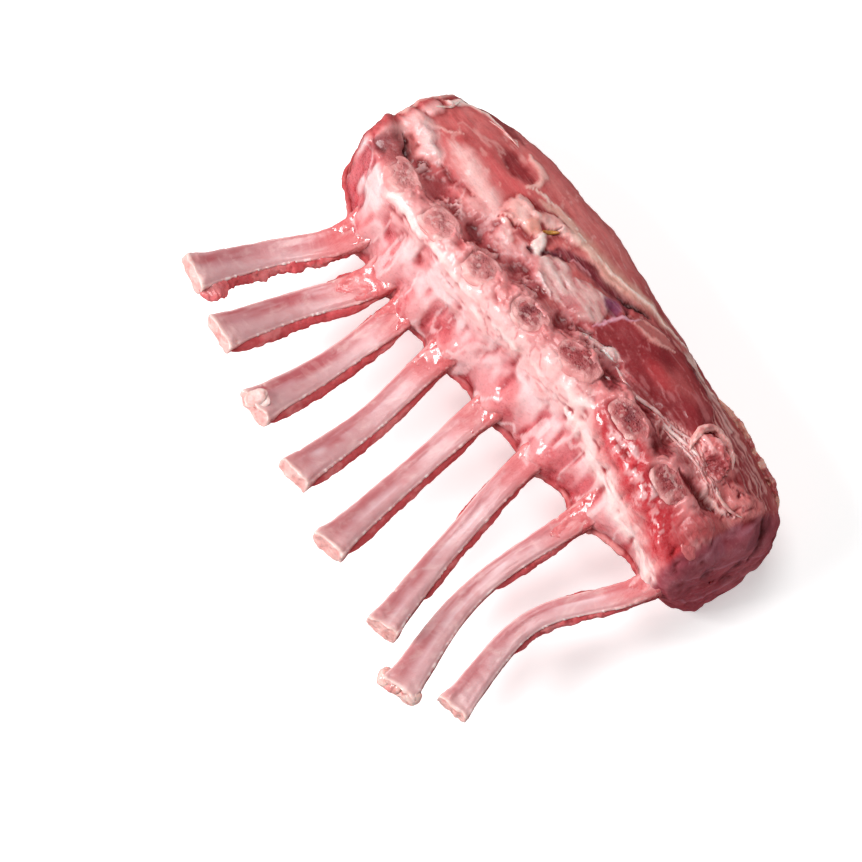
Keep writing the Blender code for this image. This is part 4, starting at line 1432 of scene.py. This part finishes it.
# Loose cords and folds: the path, the width, the height and the colour of each
CORDS = (
    (((-12, -13), (-25, -12.5), (-35, -16.5), (-42, -17.5)), 1.6, 1.2, srgb(240, 192, 190)),
    (((6, -8.5), (-2, -12), (-11, -14)), 2.4, 1.0, srgb(248, 228, 222)),
    (((95, -28), (88, -30.5), (80, -31.5)), 0.7, 0.5, srgb(230, 172, 166)),
    (((108, -13), (106, -19), (107, -23)), 1.2, 0.9, srgb(246, 220, 210)),
    (((-34, -14.6), (-42, -16.4), (-49, -18.6), (-56, -20)), 1.5, 1.2, srgb(246, 204, 200)),
    (((-36, -16.6), (-44, -19), (-51, -22.4)), 1.1, 0.9, srgb(240, 186, 184)),
    (((-40, -14.6), (-49, -16.4), (-58, -17.6), (-66, -17)), 1.1, 0.9, srgb(238, 178, 176)),
    (((-64, -21), (-70, -18.4), (-76, -19), (-81, -22)), 1.3, 1.0, srgb(240, 190, 184)),
)
CORD_END = 0.6  # how thin a cord's ends are, as a share of its middle
# The ragged fat along the back edge: x and z
BACK_RAGS = ((-36, 34), (-44, 33), (-52, 34), (-60, 32.5), (-68, 33), (-76, 31), (-82, 28))
# The golden sliver on the heap of fat: x, y
SLIVER = ((44.2, -18.5), (43.0, -21.5), (41.8, -24.6))
LUMP_ROWS, LUMP_SIDES = 26, 34
LUMP_POLE = 0.06  # how far from the poles of a lump its first and last rows are, in radians


def build_sleeve(number, rib, reach):
    """The meat that climbs a rib's root, thinning to a ragged end."""
    side, rise = rib_section(SLEEVE_SIDES)
    lap = np.column_stack([side * 5, rise * 5, np.full(SLEEVE_SIDES, number * 40.0)])
    climb = reach * (1.0 + 0.5 * noise(lap, 5.0, 131, 2) - 0.2 * rise)
    _, length = rib_line(rib, (0, 1))
    rows = np.linspace(0, 1, SLEEVE_ROWS)
    shares = np.linspace(0, 1, LINE_STEPS)
    line, across, over, half, _ = rib_frame(rib, shares)
    far = rows[:, None] * (RIB_SEAT_IN + np.maximum(climb, SLEEVE_LEAST))
    at = np.clip(far / length, 0, 1)
    line, across, over = (
        np.stack([np.interp(at, shares, part[:, axis]) for axis in range(3)], axis=-1)
        for part in (line, across, over)
    )
    half = np.interp(at, shares, half)
    round_it = (np.tile(side * 6, SLEEVE_ROWS), np.tile(rise * 6, SLEEVE_ROWS) + number * 30)
    thick = SLEEVE_THICK * (1 - rows[:, None]) ** 1.3 + 0.06
    thick = thick * (1 + 0.5 * noise(np.column_stack([far.ravel(), *round_it]), 4, 132).reshape(far.shape))
    grid = (
        line
        + ((half + thick) * side)[:, :, None] * across
        + ((rib[5] / 2 + thick) * rise)[:, :, None] * over
    )
    flat = grid.reshape(-1, 3)
    canvas = Canvas(flat, srgb(216, 116, 118), wet=1.0)
    under = np.tile(ease(-rise, -0.2, 0.5), SLEEVE_ROWS)
    canvas.paint(under * 0.8, srgb(172, 54, 60), grain=0.3)
    canvas.paint(patches(flat, (3, 9, 9), 133, 0.0, 0.5) * 0.8, srgb(234, 168, 168))
    canvas.paint(patches(flat, 4, 135, 0.35, 0.7) * 0.6, srgb(196, 62, 66))
    canvas.lift(0.3 * noise(flat, 2.6, 134))
    return make_tube(f"root_meat_{number}", raised(grid, canvas.relief), canvas.layers())


def strand(path, widths, heights, seed, sides, rows, rough=0.25, upward=(0, 0, 1)):
    """A flattened uneven cord of tissue along a path, thin at both ends."""
    path = np.array(path, float)
    lengths = np.concatenate([[0], np.cumsum(np.linalg.norm(np.diff(path, axis=0), axis=1))])
    at = np.linspace(0, lengths[-1], rows)
    line = through(lengths, path, at)
    share = at / lengths[-1]
    half_width = through(np.linspace(0, 1, len(widths)), widths, share) / 2
    half_height = through(np.linspace(0, 1, len(heights)), heights, share) / 2
    taper = np.sqrt(np.clip(1 - np.abs(2 * share - 1) ** 6, 0.002, 1))
    way = np.gradient(line, axis=0)
    way /= np.linalg.norm(way, axis=1)[:, None]
    across = np.cross(upward, way)
    across /= np.maximum(np.linalg.norm(across, axis=1), 1e-6)[:, None]
    over = np.cross(way, across)
    angle = np.arange(sides) * 2 * math.pi / sides
    round_it = (np.tile(np.cos(angle) * 3, rows), np.tile(np.sin(angle) * 3, rows))
    local = np.column_stack([np.repeat(at, sides), *round_it])
    uneven = 1 + rough * noise(local + seed * 11.0, 3.0, seed).reshape(rows, sides) * 1.4
    return (
        line[:, None]
        + (half_width * taper)[:, None, None] * (np.cos(angle) * uneven)[:, :, None] * across[:, None]
        + (half_height * taper)[:, None, None] * (np.sin(angle) * uneven)[:, :, None] * over[:, None]
    )


def lump(centre, radii, seed, rough):
    """A knobbly ball."""
    rise = np.cos(np.linspace(LUMP_POLE, math.pi - LUMP_POLE, LUMP_ROWS))[:, None]
    reach = np.sqrt(1 - rise**2)
    angle = np.arange(LUMP_SIDES) * 2 * math.pi / LUMP_SIDES
    ball = (reach * np.cos(angle), reach * np.sin(angle), np.repeat(rise, LUMP_SIDES, 1))
    ball = np.stack(ball, axis=-1)
    bumps = 1 + rough * noise(ball.reshape(-1, 3) * 3 + seed * 7.0, 2.0, seed).reshape(ball.shape[:2])
    return np.array(centre) + ball * np.array(radii) * bumps[:, :, None]


def painted(grid, colour, second, seed, **finish):
    """Layers for a small piece: one colour breaking into a second."""
    flat = grid.reshape(-1, 3)
    canvas = Canvas(flat, colour, **finish)
    canvas.paint(patches(flat, 3.0, seed, -0.1, 0.5), second)
    return canvas.layers()


def resting(loin_tree, spots, lift=0.0):
    """Plan spots (x, y) laid on the loin's skin, each raised by lift or by its own third number."""
    laid = []
    for spot in spots:
        x, y = spot[:2]
        rise = spot[2] if len(spot) > 2 else lift
        above = Vector((x * MM, y * MM, CLEAR_OF_MEAT))
        place, normal, _, _ = loin_tree.ray_cast(above, Vector((0, 0, -1)))
        if place is None:
            raise RuntimeError(f"nothing of the loin lies under ({x}, {y})")
        laid.append(np.array(place) / MM + np.array(normal) * rise)
    return laid


def build_shreds():
    """Strips of red meat left along the ribs' edges."""
    pile = Pile()
    for seed, (number, start, end, out, edge, rough) in enumerate(SHREDS, 201):
        rib = RIBS[number - 1]
        shares = np.linspace(start, end, 16)
        line, across, over, half, _ = rib_frame(rib, shares)
        sway = noise(np.column_stack([shares * 60, shares * 0, shares * 0]), 7, seed, 2)
        width = 2 * out + 1.5
        offset = edge * (half + out - width / 2 + 1.6 * rough * sway + (shares - 0.6) * out * 0.5)
        path = line + across * offset[:, None] - over * 0.5
        widths = (width * 0.8, width, width, width * 0.9)
        grid = strand(path, widths, (4.0, 5.2, 5.0, 4.4), seed, 30, 140, rough)
        flat = grid.reshape(-1, 3)
        # A shred that starts near the tip is paler
        canvas = Canvas(flat, srgb(224, 122, 124) if start > 0.5 else srgb(208, 90, 94), wet=0.8)
        canvas.paint(patches(flat, (5, 9, 5), seed, 0.0, 0.6) * 0.8, srgb(226, 138, 138))
        canvas.paint(ease(-noise(flat, (4, 9, 5), seed + 50), 0.3, 0.8) * 0.6, srgb(176, 56, 62))
        pile.add(grid, canvas.layers())
    return pile.make("rib_shreds")


def build_cartilage():
    """White fat on the tip of the third rib, and a pale knuckle of gristle on the seventh."""
    pile = Pile()
    rib = RIBS[TIP_FAT_RIB - 1]
    line, across, over, half, _ = rib_frame(rib, np.array(TIP_FAT_STATIONS))
    for seed, (row, sideways, long, wide, rough) in enumerate(TIP_FAT, 221):
        centre = line[row] + across[row] * sideways * half[row] + over[row] * rib[5] * TIP_FAT_OUT
        grid = lump(centre, (wide, long, 0.9), seed, rough)
        pile.add(grid, painted(grid, srgb(242, 208, 202), srgb(236, 188, 182), seed, wet=0.5))
    line, across, over, half, _ = rib_frame(RIBS[KNUCKLE_RIB - 1], np.array(KNUCKLE_STATIONS))
    way = (line[1] - line[0]) / np.linalg.norm(line[1] - line[0])
    path = [line[1] + across[1] * half[1] * sideways + way * (ahead - 0.6) for sideways, ahead in KNUCKLE]
    grid = strand(path, (4.6, 6.0, 5.2, 6.0, 4.6), (4.4, 5.6, 5.2, 5.6, 4.4), 231, 44, 90, 0.16)
    pile.add(grid, painted(grid, srgb(238, 192, 184), srgb(222, 146, 142), 231, wet=0.6, film=0.2))
    for seed, (sideways, rise, ahead, size) in enumerate(KNOBS, 232):
        centre = line[1] + across[1] * half[1] * sideways + over[1] * rise + way * ahead
        grid = lump(centre, (size, size * 0.9, size * 0.85), seed, 0.22)
        pile.add(grid, painted(grid, srgb(240, 196, 188), srgb(224, 152, 146), seed, wet=0.7))
    return pile.make("rib_cartilage")


def build_flap(loin_tree):
    """Near the tail, a pale fold of tissue that hooks round a knob with a red spongy middle."""
    pile = Pile()
    fold = resting(loin_tree, FLAP_FOLD)
    grid = strand(fold, (5.0, 8.6, 10.0, 7.0), (3.2, 4.8, 5.0, 3.0), 244, 60, 120, 0.22)
    flat = grid.reshape(-1, 3)
    canvas = Canvas(flat, srgb(214, 116, 116), wet=0.6)
    canvas.paint(
        patches(flat, (9, 1.6, 4), 245, 0.0, 0.4) * 0.8,
        srgb(240, 178, 176), 0.3, film=0.3, grain=0.3,
    )
    canvas.paint(ease(-noise(flat, (7, 2, 4), 247), 0.2, 0.6) * 0.7, srgb(176, 70, 74), -0.5)
    spot = oval(flat[:, :2] + 1.2 * noise(flat, 3, 246)[:, None], (-60.8, -23.0), (4.0, 3.6), 20, 1.0)
    canvas.paint(spot, srgb(160, 52, 58), -0.8, sponge=0.6, wet=0.3)
    pile.add(raised(grid, canvas.relief), canvas.layers())
    hook = resting(loin_tree, FLAP_HOOK)
    grid = strand(hook, (1.6, 3.0, 3.0, 2.2, 0.9), (1.6, 3.2, 3.4, 2.6, 1.1), 241, 30, 90, 0.32)
    pile.add(grid, painted(grid, srgb(242, 184, 178), srgb(228, 148, 146), 241, wet=0.6, film=0.3))
    return pile.make("curled_flap")


def build_strands(loin_tree):
    """Loose pale cords and folds that lie on the meat."""
    pile = Pile()
    for seed, (path, width, height, colour) in enumerate(CORDS, 251):
        widths = (width * CORD_END, width, width * CORD_END)
        heights = (height * CORD_END, height, height * CORD_END)
        grid = strand(resting(loin_tree, path, 0.1), widths, heights, seed, 16, 60)
        pile.add(grid, painted(grid, colour, srgb(224, 150, 148), seed, wet=0.8))
    return pile.make("tissue_strands")


def build_edge_fat(loin_tree):
    """A ragged strip of yellowish fat along the back edge towards the tail."""
    path = []
    for x, z in BACK_RAGS:
        behind = Vector((x * MM, -CLEAR_OF_MEAT, z * MM))
        place, _, _, _ = loin_tree.ray_cast(behind, Vector((0, 1, 0)))
        if place is None:
            raise RuntimeError(f"nothing of the loin's back lies at ({x}, {z})")
        path.append(np.array(place) / MM)
    grid = strand(path, (3.0, 6.5, 5.0, 7.0, 3.5), (1.4, 3.0, 2.4, 3.2, 1.6), 271, 40, 150, 0.4, (0, -1, 0))
    layers = painted(grid, srgb(228, 172, 156), srgb(190, 98, 98), 272, wet=0.4, film=0.3)
    return make_tube("edge_fat", grid, layers)


def build_sliver(loin_tree):
    """A golden-brown sliver stuck to the fat."""
    grid = strand(resting(loin_tree, SLIVER, 0.9), (1.0, 1.6, 0.9), (0.9, 1.2, 0.8), 281, 16, 40, rough=0.15)
    layers = painted(grid, srgb(208, 152, 76), srgb(168, 108, 48), 281, wet=0.3)
    return make_tube("golden_sliver", grid, layers)


def build_tissue(context):
    """The meat on the ribs' roots and edges, and the loose tissue that lies on the loin."""
    material = meat_material(context.scene.rack_colours)
    for number, (rib, reach) in enumerate(zip(RIBS, SLEEVE_REACHES), 1):
        finish_piece(build_sleeve(number, rib, reach), material, "meat")
    loin = bpy.data.objects["loin_meat"]
    tree = BVHTree.FromObject(loin, context.evaluated_depsgraph_get())
    loose = [build_shreds(), build_cartilage()]
    loose += [build(tree) for build in (build_flap, build_strands, build_edge_fat, build_sliver)]
    for piece in loose:
        finish_piece(piece, material, "meat")


# --------------------------------------------
# The stage
# --------------------------------------------

AIM = (16.8, 46.0, 0.0)  # the place on the floor that the camera looks at
SENSOR_WIDTH = 36.0
FLOOR_SIZE = 6.0  # in metres, like all below
FLOOR_DROP = 0.0002  # how far the floor lies below the meat's flat underside
# Places of the lights, measured from the aim along the camera's axes: right, up, and towards the camera
KEY_PLACE = (-0.98, 0.16, 0.84)
TOP_PLACE = (0.0, 0.74, 1.14)
KEY_WIDTH = 0.54
TOP_WIDTH = 0.62


def add_light(camera, name, place, width, power):
    """A square soft light that shines at the aim."""
    light = bpy.data.lights.new(name, "AREA")
    light.energy = power
    light.size = width
    holder = bpy.data.objects.new(name, light)
    bpy.context.scene.collection.objects.link(holder)
    middle = Vector(AIM) * MM
    holder.location = middle + camera.matrix_world.to_3x3() @ Vector(place)
    holder.rotation_euler = (holder.location - middle).to_track_quat("Z", "Y").to_euler()


def add_floor(colour):
    """A plain square floor, which the wet meat doesn't mirror."""
    mesh = bpy.data.meshes.new("floor")
    half = FLOOR_SIZE / 2
    corners = [(x * half, y * half, -FLOOR_DROP) for x, y in ((-1, -1), (1, -1), (1, 1), (-1, 1))]
    mesh.from_pydata(corners, [], [(0, 1, 2, 3)])
    mesh.materials.append(floor_material(colour))
    floor = bpy.data.objects.new("floor", mesh)
    bpy.context.scene.collection.objects.link(floor)
    floor.visible_glossy = False


def build_stage(context):
    """The floor, the camera, the two lights and the white room."""
    stage = context.scene.rack_stage
    add_floor(stage.floor_colour)
    camera_data = bpy.data.cameras.new("camera")
    camera_data.lens = stage.lens
    camera_data.sensor_width = SENSOR_WIDTH
    camera = bpy.data.objects.new("camera", camera_data)
    bpy.context.scene.collection.objects.link(camera)
    bearing, rise = math.radians(stage.camera_bearing), math.radians(stage.camera_rise)
    level = math.cos(rise)
    back = Vector((level * math.cos(bearing), level * math.sin(bearing), math.sin(rise)))
    camera.location = Vector(AIM) * MM + back * stage.camera_distance
    camera.rotation_euler = back.to_track_quat("Z", "Y").to_euler()
    context.scene.camera = camera
    context.view_layer.update()
    add_light(camera, "key", KEY_PLACE, KEY_WIDTH, stage.key_power)
    add_light(camera, "top", TOP_PLACE, TOP_WIDTH, stage.top_power)
    world = bpy.data.worlds.new("white studio")
    world.use_nodes = True
    background = world.node_tree.nodes["Background"]
    background.inputs["Color"].default_value = (1.0, 1.0, 1.0, 1.0)
    background.inputs["Strength"].default_value = stage.surround
    context.scene.world = world
    world.cycles_visibility.glossy = False
    context.scene.view_settings.view_transform = "Standard"


# --------------------------------------------
# The add-on
# --------------------------------------------


def colour_property(name, description, colour):
    """A colour that the user can change."""
    return FloatVectorProperty(
        name=name, description=description, subtype="COLOR", size=3, min=0.0, max=1.0, default=colour
    )


def unevenness_property(description):
    """How strong a relief is, where 1 is as found on a real rack."""
    return FloatProperty(name="Unevenness", description=description, default=1.0, min=0.0, max=2.0)


class RackColours(bpy.types.PropertyGroup):
    """The colours of meat, fat and bone"""

    deep_meat: colour_property("Deep meat", "Meat in hollows and cuts", srgb(86, 16, 24))
    pale_meat: colour_property("Pale meat", "The light strands in the meat's grain", srgb(236, 164, 158))
    purple_meat: colour_property("Purple meat", "Meat that the air has darkened", srgb(116, 52, 70))
    fat: colour_property("Fat", "Strips and patches of fat", srgb(238, 192, 178))
    membrane: colour_property("Membrane", "The silvery films over the muscles", srgb(240, 188, 188))
    sawn_bone: colour_property("Sawn bone", "The pale net of sawn spongy bone", srgb(222, 156, 152))
    marrow: colour_property("Marrow", "The pores of sawn bone", srgb(110, 28, 36))
    pale_bone: colour_property("Pale bone", "The lightest parts of the ribs", srgb(242, 214, 208))


class LoinSize(bpy.types.PropertyGroup):
    """The loin's relief"""

    unevenness: unevenness_property("How strong the loin's lumps and fibres are")


class BoneSize(bpy.types.PropertyGroup):
    """The rib bones' relief"""

    unevenness: unevenness_property("How strong the ribs' ridges and nicks are")


class StageSize(bpy.types.PropertyGroup):
    """The floor, the camera and the lights"""

    floor_colour: colour_property("Floor", "The plain pale floor", (0.92, 0.92, 0.92))
    camera_bearing: FloatProperty(
        name="Camera bearing",
        description="The side that the camera stands on, from +X towards +Y, in degrees",
        default=148.0,
    )
    camera_rise: FloatProperty(
        name="Camera rise", description="How high the camera stands, in degrees", default=73.0
    )
    camera_distance: FloatProperty(
        name="Camera distance",
        description="From the camera to the floor that it looks at",
        default=1.2,
        unit="LENGTH",
    )
    lens: FloatProperty(
        name="Lens", description="The camera's focal length in millimetres", default=135.3, min=1.0
    )
    key_power: FloatProperty(
        name="Key light", description="Watts of the light at the upper left", default=16.0, min=0.0
    )
    top_power: FloatProperty(
        name="Top light", description="Watts of the light overhead", default=8.0, min=0.0
    )
    surround: FloatProperty(
        name="Surround", description="How bright the white room is", default=0.22, min=0.0
    )


class RACK_OT_loin(bpy.types.Operator):
    """Build the loin with its muscle, fat, membranes and sawn chine"""

    bl_idname = "rack.loin"
    bl_label = "Loin"

    def execute(self, context):
        build_loin(context)
        return {"FINISHED"}


class RACK_OT_rib_bones(bpy.types.Operator):
    """Build the eight trimmed rib bones"""

    bl_idname = "rack.rib_bones"
    bl_label = "Rib bones"

    def execute(self, context):
        build_ribs(context)
        return {"FINISHED"}


class RACK_OT_sawn_bones(bpy.types.Operator):
    """Build the eight sawn chine bones"""

    bl_idname = "rack.sawn_bones"
    bl_label = "Sawn chine bones"

    def execute(self, context):
        build_sawn_bones(context)
        return {"FINISHED"}


class RACK_OT_tissue(bpy.types.Operator):
    """Build the meat on the ribs' roots and edges, and the loose tissue. The loin comes first"""

    bl_idname = "rack.tissue"
    bl_label = "Loose meat and tissue"

    def execute(self, context):
        build_tissue(context)
        return {"FINISHED"}


class RACK_OT_stage(bpy.types.Operator):
    """Build the floor, the lights, the white surround and the camera"""

    bl_idname = "rack.stage"
    bl_label = "Stage"

    def execute(self, context):
        build_stage(context)
        return {"FINISHED"}


OPERATORS = (RACK_OT_loin, RACK_OT_rib_bones, RACK_OT_sawn_bones, RACK_OT_tissue, RACK_OT_stage)
GROUPS = {"rack_colours": RackColours, "rack_loin": LoinSize, "rack_bones": BoneSize, "rack_stage": StageSize}


class RACK_PT_panel(bpy.types.Panel):
    """Lists the rack's pieces and their sizes"""

    bl_idname = "RACK_PT_panel"
    bl_label = "Rack of lamb"
    bl_space_type = "VIEW_3D"
    bl_region_type = "UI"
    bl_category = "Rack"

    def draw(self, context):
        for operator in OPERATORS:
            self.layout.operator(operator.bl_idname)
        for name, group in GROUPS.items():
            box = self.layout.box()
            for setting in group.__annotations__:
                box.prop(getattr(context.scene, name), setting)


def register():
    """Adds the groups of settings, the operators and the panel to Blender."""
    for group in GROUPS.values():
        bpy.utils.register_class(group)
    for name, group in GROUPS.items():
        setattr(bpy.types.Scene, name, PointerProperty(type=group))
    for operator in OPERATORS:
        bpy.utils.register_class(operator)
    bpy.utils.register_class(RACK_PT_panel)


def unregister():
    """Takes them out again, last first."""
    bpy.utils.unregister_class(RACK_PT_panel)
    for operator in reversed(OPERATORS):
        bpy.utils.unregister_class(operator)
    for name in GROUPS:
        delattr(bpy.types.Scene, name)
    for group in reversed(GROUPS.values()):
        bpy.utils.unregister_class(group)


def main():
    """Builds the stage and every piece."""
    register()
    bpy.ops.rack.stage()
    bpy.ops.rack.loin()
    bpy.ops.rack.rib_bones()
    bpy.ops.rack.sawn_bones()
    bpy.ops.rack.tissue()


if __name__ == "__main__":
    main()
